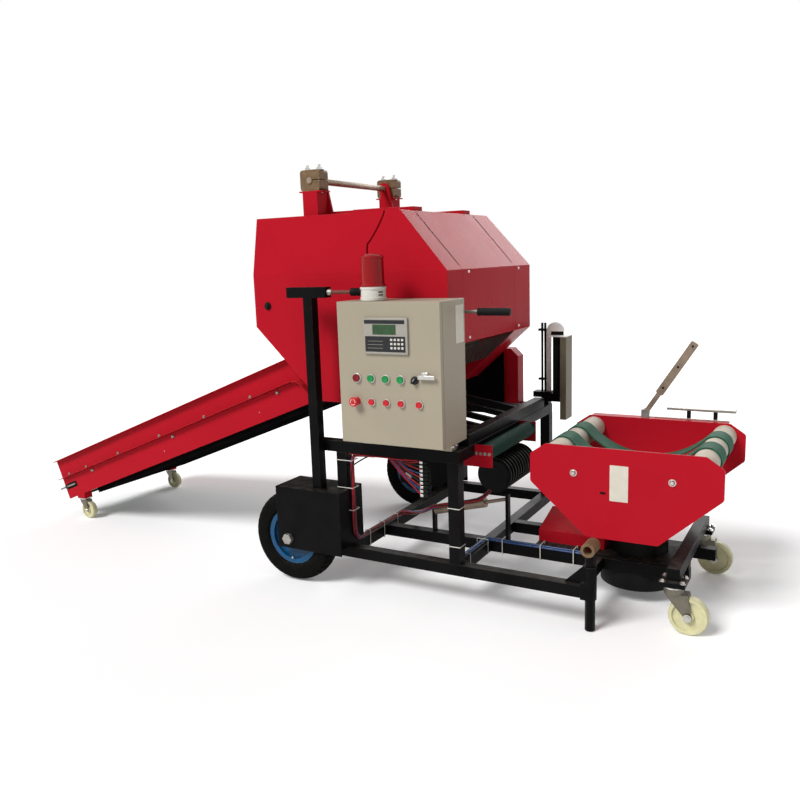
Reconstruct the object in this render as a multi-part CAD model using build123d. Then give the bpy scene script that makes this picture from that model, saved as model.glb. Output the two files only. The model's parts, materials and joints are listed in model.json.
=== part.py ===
"""Towed silage baler with feed conveyor, roller bale chamber, bale ramp and turntable bale wrapper.

Millimetres. +X runs along the machine from the feed conveyor to the wrapper, +Y away from the
operator's side, +Z up. The origin is on the ground under the middle of the machine.
"near" is the operator's side (-Y), "far" the drive side (+Y).
"""
import os
from math import atan2, cos, degrees, hypot, radians, sin

from build123d import *

# Common stock and clearances
TUBE = 50.0             # square frame tube
SHEET = 4.0             # covers and conveyor sides
PLATE = 6.0             # folded plates
RUN_FIT = 0.05          # radial clearance of a turning pin
SEAT = 0.3              # gap between pieces that turn face to face
STATIC_FIT = 0.1        # radial clearance of a fixed pin

# Frame
NEAR_RAIL_Y = -545.0
FAR_RAIL_Y = 585.0
LOWER_RAIL_Z = 136.0    # underside of the lower rails
TOP_RAIL_Z = 620.0      # underside of the top rails
FRONT_LEG_X = 315.0
REAR_LEG_X = 860.0
NEAR_RAIL_END_X = 1393.0
INNER_RAIL_Y = (-220.0, 60.0)

# Road wheels
WHEEL_X = 62.0
WHEEL_R = 212.0
TYRE_WIDTH = 100.0
TREAD_CROWN = 14.0      # crown of the tread above its shoulders
RIM_R = 112.0           # bead seat
RIM_FLANGE_R = 129.0
RIM_WIDTH = 76.0
NEAR_WHEEL_Y = -585.0
FAR_WHEEL_Y = 625.0
AXLE_R = 15.0
HUB_R = 34.0
HUB_LENGTH = 92.0
FENDER_OUT = 65.0       # wheel plane to the fender's outer face
FENDER_IN = 125.0       # and to its inner face
FENDER_X = (0.0, 346.0)
FENDER_DROP = 48.0      # below the axle
FENDER_RISE = 241.0     # above it
AXLE_NUT_FLATS = 44.0
AXLE_NUT_LENGTH = 20.0

# Bale chamber, an octagon in side view
CHAMBER_FRONT_X = -206.0
CHAMBER_REAR_X = 802.0
ROOF_FRONT_X = -185.0
ROOF_REAR_X = 578.0
FLOOR_FRONT_X = 140.0
FLOOR_REAR_X = 510.0
ROOF_Z = 1655.0
FOLD_Z = 1400.0
FRONT_FOOT_Z = 1157.0
REAR_FOOT_Z = 1086.0
FLOOR_Z = 820.0
WALL_NEAR_Y = -311.0
WALL_FAR_Y = 291.0
COVER_NEAR_Y = -460.0
COVER_FAR_Y = 500.0
COVER_LEAN = 25.0       # covers lean in this much between fold and roof
WALL = 8.0
SPLIT_X = 414.0         # front half ends here
SPLIT_ROOF_X = 498.0    # and here on the roof, on an arc about the gate's hinge
GATE_GAP = 8.0
ROLLER_R = 44.0
ROLLER_RING_R = 335.0
ROLLER_RING_X = 298.0
ROLLER_RING_Z = 1237.0
FRONT_ROLLER_ANGLES = (84, 102, 120, 138, 156, 174, 246, 264)
GATE_ROLLER_ANGLES = (-54, -36, -18, 0, 18, 36, 54)

# Gate hinge on the roof
HINGE_X = 90.0
HINGE_Z = 1812.0
HINGE_BLOCK_Y = (-350.0, 330.0)
HINGE_SHAFT_R = 14.0
HINGE_POST = 80.0
HINGE_BLOCK_HEIGHT = 92.0
HINGE_BLOCK_LENGTH = 104.0
HINGE_BLOCK_ROUND = 14.0
HINGE_STUD_X = 32.0     # studs either side of the shaft
ARM_WIDTH = 80.0
ARM_THICK = 12.0
ARM_LIFT = 7.0          # arms clear the roof by this much
ARM_END_X = 572.0

# Feed conveyor
TAIL_X = -1793.0        # underside of the side plates at the tail
TAIL_Z = 95.0
SLOPE = 20.9
CONVEYOR_MID_Y = -20.0
CONVEYOR_HALF = 350.0   # outer face of the side plates
CONVEYOR_HEIGHT = 240.0
CONVEYOR_FLANGE = 26.0
CHAIN_COVER_HEIGHT = 126.0
CHAIN_COVER_DEPTH = 20.0
DRUM_R = 45.0
DRUM_LEVEL = 75.0
DRUM_INSET = 75.0
BELT_THICK = 6.0
CLEAT_HEIGHT = 30.0
CLEAT_PITCH = 190.0
BELLY_DROP = 28.0
BELLY_START = 270.0

# Wrapper turntable's place
TABLE_X = 1505.0
TABLE_Y = -80.0

# Castors: small pair under the conveyor tail, large pair behind the wrapper
TAIL_CASTOR_X = -1662.0
TAIL_CASTOR_HALF_Y = 345.0
TAIL_CASTOR_R = 50.0
TAIL_CASTOR_HEIGHT = 128.0
TAIL_CASTOR_TRAIL = 32.0
TAIL_CASTOR_WIDTH = 30.0
WRAP_CASTOR_X = TABLE_X + 208.0
INNER_RAIL_END_X = (WRAP_CASTOR_X + 27.0, WRAP_CASTOR_X + 87.0)
WRAP_CASTOR_Y = (-413.0, 250.0)
WRAP_CASTOR_R = 75.0
WRAP_CASTOR_HEIGHT = 195.0
WRAP_CASTOR_TRAIL = 57.0
WRAP_CASTOR_WIDTH = 44.0
CASTOR_PLATE = 6.0
TAIL_CASTOR_BASE = (62.0, 55.0)     # plate along and across
WRAP_CASTOR_BASE = (94.0, 83.0)
WRAP_PAD = 14.0         # black pad between beam and castor plate
END_BEAM_OVERHANG = 20.0

# Wrapper turntable
TABLE_HALF_Y = 320.0    # outer face of the side plates
TABLE_TOP_Z = 697.0
TABLE_SHOULDER_Z = 652.0
TABLE_WAIST_Z = 535.0
TABLE_FOOT_Z = 327.0
TABLE_TOP_HALF = 310.0
TABLE_SIDE_HALF = 375.0
TABLE_FOOT_HALF = 142.0
TABLE_ROLLER_R = 50.0
TABLE_ROLLER_HALF = 288.0
TABLE_ROLLER_Z = 640.0
TABLE_CORNER = 18.0     # rounded corners of the side plates
TABLE_BELT_WIDTH = 112.0
TABLE_BELT_HALF_Y = 105.0
TABLE_BELT_TOP_ANGLE = 46.0     # slack of the carrying strand where it leaves a roller
TABLE_BELT_LOW_ANGLE = 20.0     # and of the return strand
DRUM_BASE_R = 120.0
DRUM_BASE_TOP_Z = 296.0
DRUM_PAN_R = 160.0      # guard pan under the rails
DRUM_PAN_Z = 58.0
BASE_PLATE_X = (TABLE_X - 420.0, TABLE_X + 163.0)
BASE_PLATE_LAP = 13.0   # plate past the rails' middle
DRIVE_COVER_X = (BASE_PLATE_X[0], TABLE_X - DRUM_BASE_R - PLATE)
DRIVE_COVER_Y = (-170.0, 20.0)
DRIVE_COVER_Z = (246.0, 298.0)      # near and far edge of the sloping top
TABLE_HUB_R = 90.0

# Control box
BOX_X = (407.0, 878.0)
BOX_Y = (-690.0, -466.0)
BOX_Z = (704.0, 1288.0)
BOX_WALL = 3.0
DOOR_DEPTH = 22.0
BEACON_X = 551.0
BEACON_Y = -632.0

# Push handle post
POST_X = 207.0
POST = 45.0
POST_TOP_Z = 1345.0
GRIP_R = 15.0
HANDLE_ROD_R = 8.0
HEAD_REACH = (109.0, 94.0)      # cross head in front of and behind the post
GRIP_REACH = (214.0, 272.0)

# Transfer cylinder that nudges the bale over to the wrapper
CYLINDER_Y = INNER_RAIL_Y[0]
CYLINDER_FOOT = (599.0, 290.0)
CYLINDER_EYE = (952.0, 382.0)
CYLINDER_R = 23.0
CYLINDER_BODY = 0.72     # share of the closed length taken by the barrel
LUG = 14.0
LUG_WIDTH = 26.0

# Parking leg with its tow tube
SLEEVE_REACH = 33.0     # rail's end to the leg
LEG_X = NEAR_RAIL_END_X + SLEEVE_REACH
LEG_R = 20.0
LEG_COLLAR_Z = 262.0
GUSSET_LENGTH = 70.0
LEG_FOOT_Z = 3.0
TOW_TUBE_Z = 338.0
TOW_TUBE_R = 27.0
TOW_BORE_R = 17.0
TOW_TUBE_LENGTH = 80.0


def span(centre, width):
    """Low and high end of a width about a centre."""
    return centre - width / 2, centre + width / 2


def inset(pair, amount):
    """A (low, high) pair drawn in at both ends."""
    return pair[0] + amount, pair[1] - amount


def block(x, y, z):
    """Box between the (low, high) pairs x, y and z."""
    pairs = (x, y, z)
    size = [high - low for low, high in pairs]
    centre = [(high + low) / 2 for low, high in pairs]
    return Pos(*centre) * Box(*size)


def rod(start, end, radius):
    """Round bar between two points."""
    axis = Vector(*end) - Vector(*start)
    place = Plane(origin=start, z_dir=axis).location
    return place * Cylinder(radius, axis.length, align=(Align.CENTER, Align.CENTER, Align.MIN))


def across(sketch, y):
    """Solid whose side view (X, Z) is the sketch, between the (low, high) pair y."""
    low, high = y
    return Pos(0, high, 0) * extrude(Plane.XZ * sketch, amount=high - low)


def turned(sketch, centre):
    """Solid of revolution about Y: the sketch holds (radius, offset along Y) points."""
    return Pos(*centre) * revolve(sketch, axis=Axis.Y)


def outline(*points):
    """Closed straight-sided sketch."""
    return make_face(Polyline(*points, close=True))


nodes = {}


def add(name, *solids):
    """Keep one node: a single solid, or several that don't touch."""
    nodes[name] = solids[0] if len(solids) == 1 else Compound(children=list(solids))


# Derived levels shared by several pieces
LOWER_Z = (LOWER_RAIL_Z, LOWER_RAIL_Z + TUBE)
TOP_Z = (TOP_RAIL_Z, TOP_RAIL_Z + TUBE)
BEARER_Z = (TOP_Z[1], TOP_Z[1] + TUBE)
NEAR_Y = span(NEAR_RAIL_Y, TUBE)
FAR_Y = span(FAR_RAIL_Y, TUBE)
FRONT_LEG = span(FRONT_LEG_X, TUBE)
REAR_LEG = span(REAR_LEG_X, TUBE)
BEARER_Y = (WALL_NEAR_Y + TUBE / 2, WALL_FAR_Y - TUBE / 2)
POST_Y = NEAR_Y[0] - POST / 2
FENDER_Z = (WHEEL_R - FENDER_DROP, WHEEL_R + FENDER_RISE)
TYRE_SHOULDER_R = WHEEL_R - TREAD_CROWN


# Frame
END_TIE_X = (NEAR_RAIL_END_X - TUBE, NEAR_RAIL_END_X)
STAND_X = (200.0, 380.0)    # short stands under the chamber
lower_rails = [
    block((FRONT_LEG[0], NEAR_RAIL_END_X), NEAR_Y, LOWER_Z),
    block((FRONT_LEG[0], REAR_LEG[1]), FAR_Y, LOWER_Z),
    block((FRONT_LEG[1], REAR_LEG[0]), span(INNER_RAIL_Y[0], TUBE), LOWER_Z)]
for y, end in zip(INNER_RAIL_Y, INNER_RAIL_END_X):
    lower_rails.append(block((REAR_LEG[1], end), span(y, TUBE), LOWER_Z))
top_rails = [
    block((POST_X - POST / 2, REAR_LEG[1]), NEAR_Y, TOP_Z),
    block((FRONT_LEG[0], REAR_LEG[1]), FAR_Y, TOP_Z)]
bearers = [block((STAND_X[0] - TUBE / 2, REAR_LEG[0]), span(y, TUBE), BEARER_Z) for y in BEARER_Y]
add("frame_rails", *lower_rails, *top_rails, *bearers)
add("frame_cross_beams",
    *[block(x, (NEAR_Y[1], FAR_Y[0]), z) for x in (FRONT_LEG, REAR_LEG) for z in (LOWER_Z, TOP_Z)],
    block(END_TIE_X, (NEAR_Y[1], span(INNER_RAIL_Y[0], TUBE)[0]), LOWER_Z))

# Uprights: legs, chamber stands, the parking leg's sleeve and the transfer cylinder's two lugs
SLEEVE_Z = (LOWER_Z[0] - PLATE, LOWER_Z[1] + 2 * PLATE)
legs = [block(x, y, (LOWER_Z[1], TOP_Z[0])) for x in (FRONT_LEG, REAR_LEG) for y in (NEAR_Y, FAR_Y)]
stands = [block(span(x, TUBE), span(y, TUBE), (BEARER_Z[1], FLOOR_Z)) for x in STAND_X for y in BEARER_Y]
sleeve = block((NEAR_RAIL_END_X, LEG_X), NEAR_Y, SLEEVE_Z)
sleeve += rod((LEG_X, NEAR_RAIL_Y, SLEEVE_Z[0]), (LEG_X, NEAR_RAIL_Y, LEG_COLLAR_Z), TUBE / 2)
gusset = outline((NEAR_RAIL_END_X - GUSSET_LENGTH, LOWER_Z[1]), (LEG_X, LOWER_Z[1]), (LEG_X, LEG_COLLAR_Z),
                 (LEG_X - TUBE / 2, LEG_COLLAR_Z))
sleeve += across(gusset, span(NEAR_RAIL_Y, PLATE))
sleeve -= rod((LEG_X, NEAR_RAIL_Y, 0), (LEG_X, NEAR_RAIL_Y, LEG_COLLAR_Z + 1), LEG_R + RUN_FIT)
foot_lug = block((CYLINDER_FOOT[0] - LUG, CYLINDER_FOOT[0]), span(CYLINDER_Y, LUG_WIDTH),
                 (LOWER_Z[1], CYLINDER_FOOT[1] + CYLINDER_R))
eye_lug = block((CYLINDER_EYE[0], CYLINDER_EYE[0] + LUG), span(CYLINDER_Y, LUG_WIDTH),
                (LOWER_Z[1], CYLINDER_EYE[1] + CYLINDER_R))
add("frame_uprights", *legs, *stands, sleeve, foot_lug, eye_lug)

# Bale ramp: slats fall from a cross bar under the gate to the front beam
RAMP_BAR_X = (505.0, 535.0)
RAMP_BAR_Z = (740.0, 770.0)
SLAT = 26.0
SLAT_Y = (-240.0, -90.0, 60.0, 210.0)
RAMP_BEAM_Y = (COVER_NEAR_Y, 480.0)
ramp = block(REAR_LEG, RAMP_BEAM_Y, BEARER_Z)
ramp += block(RAMP_BAR_X, (BEARER_Y[0] - TUBE / 2, BEARER_Y[1] + TUBE / 2), RAMP_BAR_Z)
ramp += [block(RAMP_BAR_X, span(y, TUBE), (BEARER_Z[1], RAMP_BAR_Z[0])) for y in BEARER_Y]
slat = outline((REAR_LEG[0], BEARER_Z[1] - SLAT), (REAR_LEG[0], BEARER_Z[1]),
               (RAMP_BAR_X[1], RAMP_BAR_Z[1]), (RAMP_BAR_X[1], RAMP_BAR_Z[1] - SLAT))
ramp += [across(slat, span(y, SLAT)) for y in SLAT_Y]
add("bale_ramp", ramp)


# Road wheels under box fenders
def fender(wheel_y, rail_y, outward):
    """Folded steel fork over one wheel; outward is -1 on the near side, +1 on the far side."""
    low, high = FENDER_Z
    outer_face = wheel_y + outward * FENDER_OUT
    inner_face = wheel_y - outward * FENDER_IN
    clear_z = LOWER_Z[1] + PLATE
    outer = block(FENDER_X, sorted((outer_face, outer_face - outward * PLATE)), FENDER_Z)
    notch_x = FRONT_LEG[0] - PLATE
    inner_view = outline((FENDER_X[0], low), (notch_x, low), (notch_x, clear_z),
                         (FENDER_X[1], clear_z), (FENDER_X[1], high), (FENDER_X[0], high))
    inner = across(inner_view, sorted((inner_face, inner_face + outward * PLATE)))
    width = sorted((outer_face, inner_face))
    top = block(FENDER_X, width, (high - PLATE, high))
    end = block((FRONT_LEG[1], FRONT_LEG[1] + PLATE), width, (clear_z, high))
    axle_hole = rod((WHEEL_X, width[0] - 1, WHEEL_R), (WHEEL_X, width[1] + 1, WHEEL_R), AXLE_R + STATIC_FIT)
    leg = block(FRONT_LEG, span(rail_y, TUBE), (low, high + 1))
    return outer + inner + top + end - leg - axle_hole


def axle(wheel_y, outward):
    """Stub axle through both fender plates, with its nuts and the hub's spacer sleeves."""
    nut = RegularPolygon(AXLE_NUT_FLATS / 2, 6, major_radius=False)
    shaft = None
    for side, plate in ((outward, FENDER_OUT), (-outward, FENDER_IN)):
        reach = plate + AXLE_NUT_LENGTH
        half = rod((WHEEL_X, wheel_y, WHEEL_R), (WHEEL_X, wheel_y + side * reach, WHEEL_R), AXLE_R)
        half += across(Pos(WHEEL_X, WHEEL_R) * nut, sorted((wheel_y + side * plate, wheel_y + side * reach)))
        sleeve = (wheel_y + side * (HUB_LENGTH / 2 + SEAT), wheel_y + side * (plate - PLATE))
        half += rod((WHEEL_X, sleeve[0], WHEEL_R), (WHEEL_X, sleeve[1], WHEEL_R), AXLE_R + PLATE)
        shaft = half if shaft is None else shaft + half
    return shaft


def tyre(wheel_y):
    """Ribbed-tread barrow tyre as one rubber ring."""
    half = TYRE_WIDTH / 2
    bead = RIM_WIDTH / 2 - SHEET
    seat = RIM_R + STATIC_FIT
    bulge_r = (RIM_FLANGE_R + TYRE_SHOULDER_R) / 2
    shoulder = half - PLATE
    line = Line((seat, -bead), (RIM_FLANGE_R, -bead))
    line += ThreePointArc((RIM_FLANGE_R, -bead), (bulge_r, -half), (TYRE_SHOULDER_R, -shoulder))
    line += ThreePointArc((TYRE_SHOULDER_R, -shoulder), (WHEEL_R, 0), (TYRE_SHOULDER_R, shoulder))
    line += ThreePointArc((TYRE_SHOULDER_R, shoulder), (bulge_r, half), (RIM_FLANGE_R, bead))
    line += Line((RIM_FLANGE_R, bead), (seat, bead))
    line += Line((seat, bead), (seat, -bead))
    return turned(make_face(line), (WHEEL_X, wheel_y, WHEEL_R))


def rim(wheel_y):
    """Pressed steel rim: barrel with two flanges, dished disc and hub tube."""
    half = RIM_WIDTH / 2
    hub = HUB_LENGTH / 2
    bore = AXLE_R + RUN_FIT
    barrel = outline((RIM_R - SHEET, -half), (RIM_FLANGE_R, -half), (RIM_FLANGE_R, SHEET - half),
                     (RIM_R, SHEET - half), (RIM_R, half - SHEET), (RIM_FLANGE_R, half - SHEET),
                     (RIM_FLANGE_R, half), (RIM_R - SHEET, half))
    disc = outline((HUB_R - SHEET, -PLATE), (RIM_R - SHEET / 2, -3 * PLATE), (RIM_R - SHEET / 2, -2 * PLATE),
                   (HUB_R - SHEET, 0))
    tube = outline((bore, -hub), (HUB_R, -hub), (HUB_R, hub), (bore, hub))
    return turned(barrel + disc + tube, (WHEEL_X, wheel_y, WHEEL_R))


WHEELS = (("near", NEAR_WHEEL_Y, NEAR_RAIL_Y, -1), ("far", FAR_WHEEL_Y, FAR_RAIL_Y, 1))
for side, wheel_y, _, _ in WHEELS:
    add(f"tyre_{side}", tyre(wheel_y))
    add(f"rim_{side}", rim(wheel_y))
add("fenders", *[fender(wheel_y, rail_y, outward) for _, wheel_y, rail_y, outward in WHEELS])
add("wheel_axles", *[axle(wheel_y, outward) for _, wheel_y, _, outward in WHEELS])


# Bale chamber: fixed front half and swinging gate, split on an arc about the gate's hinge
SPLIT_R = hypot(SPLIT_ROOF_X - HINGE_X, ROOF_Z - HINGE_Z)
chamber_view = outline(
    (ROOF_FRONT_X, ROOF_Z), (CHAMBER_FRONT_X, FOLD_Z), (CHAMBER_FRONT_X, FRONT_FOOT_Z),
    (FLOOR_FRONT_X, FLOOR_Z), (FLOOR_REAR_X, FLOOR_Z), (CHAMBER_REAR_X, REAR_FOOT_Z),
    (CHAMBER_REAR_X, FOLD_Z), (ROOF_REAR_X, ROOF_Z))
chamber_inside = offset(chamber_view, amount=-SHEET, kind=Kind.INTERSECTION)


def gate_zone(gap):
    """Side view of everything behind the split."""
    room = outline((SPLIT_X + gap, FLOOR_Z - 2 * TUBE), (CHAMBER_REAR_X + TUBE, FLOOR_Z - 2 * TUBE),
                   (CHAMBER_REAR_X + TUBE, ROOF_Z + TUBE), (SPLIT_X + gap, ROOF_Z + TUBE))
    return room - Pos(HINGE_X, HINGE_Z) * Circle(SPLIT_R + gap)


front_view = chamber_view - gate_zone(0)
gate_view = chamber_view & gate_zone(GATE_GAP)


def lean(cover_y, inward, inset):
    """What the covers' lean cuts away above the fold, moved in by the inset."""
    edge = cover_y + inward * inset
    slope = COVER_LEAN / (ROOF_Z - FOLD_Z)
    above = ROOF_Z + TUBE
    view = outline((edge, FOLD_Z), (edge + inward * slope * (above - FOLD_Z), above),
                   (edge - inward * 2 * TUBE, above), (edge - inward * 2 * TUBE, FOLD_Z))
    reach = CHAMBER_REAR_X - CHAMBER_FRONT_X + 2 * TUBE
    return Pos(CHAMBER_FRONT_X - TUBE, 0, 0) * extrude(Plane.YZ * view, amount=reach)


def cover(view, cover_y, wall_y):
    """Folded side cover: a pan whose open side lies against the chamber's wall."""
    inward = 1 if wall_y > cover_y else -1
    outside = across(view, sorted((cover_y, wall_y))) - lean(cover_y, inward, 0)
    hollow_view = offset(view, amount=-SHEET, kind=Kind.INTERSECTION)
    hollow = across(hollow_view, sorted((cover_y + inward * SHEET, wall_y + inward)))
    return outside - (hollow - lean(cover_y, inward, SHEET))


def shell(view, inside):
    """Chamber half between the walls: two wall plates joined by the outer sheet."""
    walls = (WALL_NEAR_Y, WALL_FAR_Y)
    return across(view, walls) - across(inside, (WALL_NEAR_Y + WALL, WALL_FAR_Y - WALL))


INNER_Y = (WALL_NEAR_Y + WALL, WALL_FAR_Y - WALL)
MOUTH_EDGE = 40.0       # sheet left above and below the feed mouth
MOUTH_DEPTH = 60.0
feed_mouth = outline((CHAMBER_FRONT_X - TUBE, FRONT_FOOT_Z - MOUTH_EDGE),
                     (CHAMBER_FRONT_X + MOUTH_DEPTH, FRONT_FOOT_Z - MOUTH_EDGE),
                     (FLOOR_FRONT_X - PLATE, FLOOR_Z + MOUTH_EDGE),
                     (FLOOR_FRONT_X - 2 * MOUTH_EDGE, FLOOR_Z - TUBE))
add("chamber_front", shell(front_view, chamber_inside - gate_zone(0)) - across(feed_mouth, INNER_Y))
gate_mouth = block((SPLIT_X, CHAMBER_REAR_X + 1), INNER_Y, (FLOOR_Z - 1, REAR_FOOT_Z))
add("gate_shell", shell(gate_view, chamber_inside & gate_zone(GATE_GAP)) - gate_mouth)
COVERS = ((COVER_NEAR_Y, WALL_NEAR_Y), (COVER_FAR_Y, WALL_FAR_Y))
LIP_X = 345.0           # front end of the raised lip on the near roof edge
LIP_RISE = 12.0
lip_view = outline((LIP_X, ROOF_Z - SHEET), (ROOF_REAR_X, ROOF_Z - SHEET), (ROOF_REAR_X, ROOF_Z),
                   (ROOF_REAR_X - LIP_RISE, ROOF_Z + LIP_RISE), (LIP_X, ROOF_Z + LIP_RISE))
LIP_Y = (COVER_NEAR_Y + COVER_LEAN, COVER_NEAR_Y + COVER_LEAN + SHEET)
front_covers = [cover(front_view, cover_y, wall_y) for cover_y, wall_y in COVERS]
gate_covers = [cover(gate_view, cover_y, wall_y) for cover_y, wall_y in COVERS]
front_covers[0] += across(lip_view - gate_zone(0), LIP_Y)
gate_covers[0] += across(lip_view & gate_zone(GATE_GAP), LIP_Y)
add("front_covers", *front_covers)
add("gate_covers", *gate_covers)


def rollers(angles):
    """Bale rollers on their ring, each from wall to wall."""
    turns = [radians(angle) for angle in angles]
    places = [(ROLLER_RING_X + ROLLER_RING_R * cos(t), ROLLER_RING_Z + ROLLER_RING_R * sin(t)) for t in turns]
    return [rod((x, INNER_Y[0], z), (x, INNER_Y[1], z), ROLLER_R) for x, z in places]


add("chamber_rollers", *rollers(FRONT_ROLLER_ANGLES))
add("gate_rollers", *rollers(GATE_ROLLER_ANGLES))

# Gate hinge: posts and split blocks on the front half hold the shaft, arms hang the gate on it
BLOCK_Z = span(HINGE_Z, HINGE_BLOCK_HEIGHT)
HINGE_STUD_R = 6.0
HINGE_STUD_HEIGHT = 24.0
shaft_hole = Pos(HINGE_X, HINGE_Z) * Circle(HINGE_SHAFT_R + STATIC_FIT)
block_slit = outline((HINGE_X, HINGE_Z), (HINGE_X + HINGE_BLOCK_LENGTH, HINGE_Z),
                     (HINGE_X + HINGE_BLOCK_LENGTH, HINGE_Z + SHEET), (HINGE_X, HINGE_Z + SHEET))
block_view = RectangleRounded(HINGE_BLOCK_LENGTH, HINGE_BLOCK_HEIGHT, HINGE_BLOCK_ROUND)
block_view = Pos(HINGE_X, HINGE_Z) * block_view
flange = Rectangle(HINGE_BLOCK_LENGTH + 2 * PLATE, HINGE_POST)
hinge_posts = []
for y in HINGE_BLOCK_Y:
    post = block(span(HINGE_X, HINGE_POST), span(y, HINGE_POST), (ROOF_Z, BLOCK_Z[0]))
    hinge_posts.append(post + Pos(HINGE_X, y, BLOCK_Z[0] - PLATE) * extrude(flange, amount=PLATE))
add("hinge_posts", *hinge_posts)
hinge_blocks = []
for y in HINGE_BLOCK_Y:
    body = across(block_view - shaft_hole - block_slit, span(y, HINGE_POST - 10))
    for x in (HINGE_X - HINGE_STUD_X, HINGE_X + HINGE_STUD_X):
        body += rod((x, y, BLOCK_Z[1] - 1), (x, y, BLOCK_Z[1] + HINGE_STUD_HEIGHT), HINGE_STUD_R)
    hinge_blocks.append(body)
add("hinge_blocks", *hinge_blocks)
SHAFT_Y = (HINGE_BLOCK_Y[0] - HINGE_POST / 2, HINGE_BLOCK_Y[1] + HINGE_POST / 2)
add("hinge_shaft", rod((HINGE_X, SHAFT_Y[0], HINGE_Z), (HINGE_X, SHAFT_Y[1], HINGE_Z), HINGE_SHAFT_R))

ARM_Z = (ROOF_Z + ARM_LIFT, ROOF_Z + ARM_LIFT + ARM_THICK)
ARM_EYE_R = 30.0
ARM_HEEL = 20.0         # in front of the hinge
ARM_TOE = 60.0          # behind it
arm_hole = Pos(HINGE_X, HINGE_Z) * Circle(HINGE_SHAFT_R + RUN_FIT)
heel_x, toe_x = HINGE_X - ARM_HEEL, HINGE_X + ARM_TOE
arm_upright = outline((heel_x, ARM_Z[0]), (toe_x, ARM_Z[0]), (toe_x, ARM_Z[1]),
                      (HINGE_X + ARM_EYE_R, HINGE_Z), (heel_x, HINGE_Z))
arm_upright = arm_upright + Pos(HINGE_X, HINGE_Z) * Circle(ARM_EYE_R) - arm_hole


def gate_arm(block_y, inward):
    """Eye plate beside a hinge block on a flat bar that runs along the roof to the gate."""
    start = block_y + inward * (HINGE_POST / 2 + PLATE)
    plate = across(arm_upright, sorted((start, start + inward * ARM_THICK)))
    width = sorted((start, start + inward * ARM_WIDTH))
    bar = block((HINGE_X - ARM_HEEL, ARM_END_X), width, ARM_Z)
    pad = block((SPLIT_ROOF_X + 2 * GATE_GAP, ARM_END_X), width, (ROOF_Z, ARM_Z[0]))
    return plate + bar + pad


add("gate_arms", *[gate_arm(y, inward) for y, inward in zip(HINGE_BLOCK_Y, (1, -1))])

GATE_GRIP_Y = -430.0
GATE_GRIP_Z = 1230.0
GATE_GRIP_X = (924.0, 1060.0)
grip_ends = [(x, GATE_GRIP_Y, GATE_GRIP_Z) for x in (CHAMBER_REAR_X, *GATE_GRIP_X)]
handle = rod(grip_ends[0], grip_ends[2], HANDLE_ROD_R) + rod(grip_ends[1], grip_ends[2], GRIP_R)
add("gate_handle", handle)


# Feed conveyor, drawn level in its own slope frame: u up the slope, w square to it
RUN = Plane(origin=(TAIL_X, CONVEYOR_MID_Y, TAIL_Z),
            x_dir=(cos(radians(SLOPE)), 0, sin(radians(SLOPE))),
            z_dir=(-sin(radians(SLOPE)), 0, cos(radians(SLOPE)))).location


def head_u(w):
    """How far up the slope the chamber's feed chamfer lies at a level w."""
    along = (FLOOR_FRONT_X - CHAMBER_FRONT_X, FLOOR_Z - FRONT_FOOT_Z)
    start = (TAIL_X - w * sin(radians(SLOPE)), TAIL_Z + w * cos(radians(SLOPE)))
    gap = (CHAMBER_FRONT_X - start[0], FRONT_FOOT_Z - start[1])
    direction = (cos(radians(SLOPE)), sin(radians(SLOPE)))
    return (gap[0] * along[1] - gap[1] * along[0]) / (direction[0] * along[1] - direction[1] * along[0])


side_view = outline((0, 0), (head_u(0), 0), (head_u(CONVEYOR_HEIGHT), CONVEYOR_HEIGHT), (0, CONVEYOR_HEIGHT))
cover_view = outline((40, 0), (head_u(0) - 60, 0), (head_u(CHAIN_COVER_HEIGHT) - 60, CHAIN_COVER_HEIGHT),
                     (40, CHAIN_COVER_HEIGHT))
FLANGE_END = head_u(CONVEYOR_HEIGHT) - 40
conveyor_sides = []
for side in (-1, 1):
    face = side * CONVEYOR_HALF
    plate = across(side_view, sorted((face, face - side * SHEET)))
    flange = block((0, FLANGE_END), sorted((face, face + side * CONVEYOR_FLANGE)),
                   (CONVEYOR_HEIGHT - SHEET, CONVEYOR_HEIGHT))
    chain_cover = across(cover_view, sorted((face, face + side * CHAIN_COVER_DEPTH)))
    conveyor_sides.append(RUN * (plate + flange + chain_cover))
add("conveyor_sides", *conveyor_sides)

BELT_HALF = CONVEYOR_HALF - 3 * SHEET
INSIDE_HALF = CONVEYOR_HALF - SHEET
DRUM_U = (DRUM_INSET, head_u(DRUM_LEVEL) - DRUM_INSET)
add("conveyor_drums",
    *[RUN * rod((u, -INSIDE_HALF, DRUM_LEVEL), (u, INSIDE_HALF, DRUM_LEVEL), DRUM_R) for u in DRUM_U])
loop_length = DRUM_U[1] - DRUM_U[0]
loop_mid = Pos((DRUM_U[0] + DRUM_U[1]) / 2, DRUM_LEVEL)
loop_inner = DRUM_R + SEAT
loop_outer = loop_inner + BELT_THICK
loop = SlotCenterToCenter(loop_length, 2 * loop_outer) - SlotCenterToCenter(loop_length, 2 * loop_inner)
belt = across(loop_mid * loop, (-BELT_HALF, BELT_HALF))
cleat_count = int(loop_length // CLEAT_PITCH)
for k in range(cleat_count + 1):
    u = DRUM_U[0] + k * loop_length / cleat_count
    top = DRUM_LEVEL + loop_outer
    low = DRUM_LEVEL - loop_outer
    belt += block(span(u, 2 * SHEET), (-BELT_HALF, BELT_HALF), (top - 1, top + CLEAT_HEIGHT))
    belt += block(span(u, 2 * SHEET), (-BELT_HALF, BELT_HALF), (low - CLEAT_HEIGHT, low + 1))
add("conveyor_belt", RUN * belt)
belly_floor = block((BELLY_START, head_u(-BELLY_DROP) - 20), (-CONVEYOR_HALF, CONVEYOR_HALF),
                    (-BELLY_DROP, SHEET - BELLY_DROP))
belly = belly_floor
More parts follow.
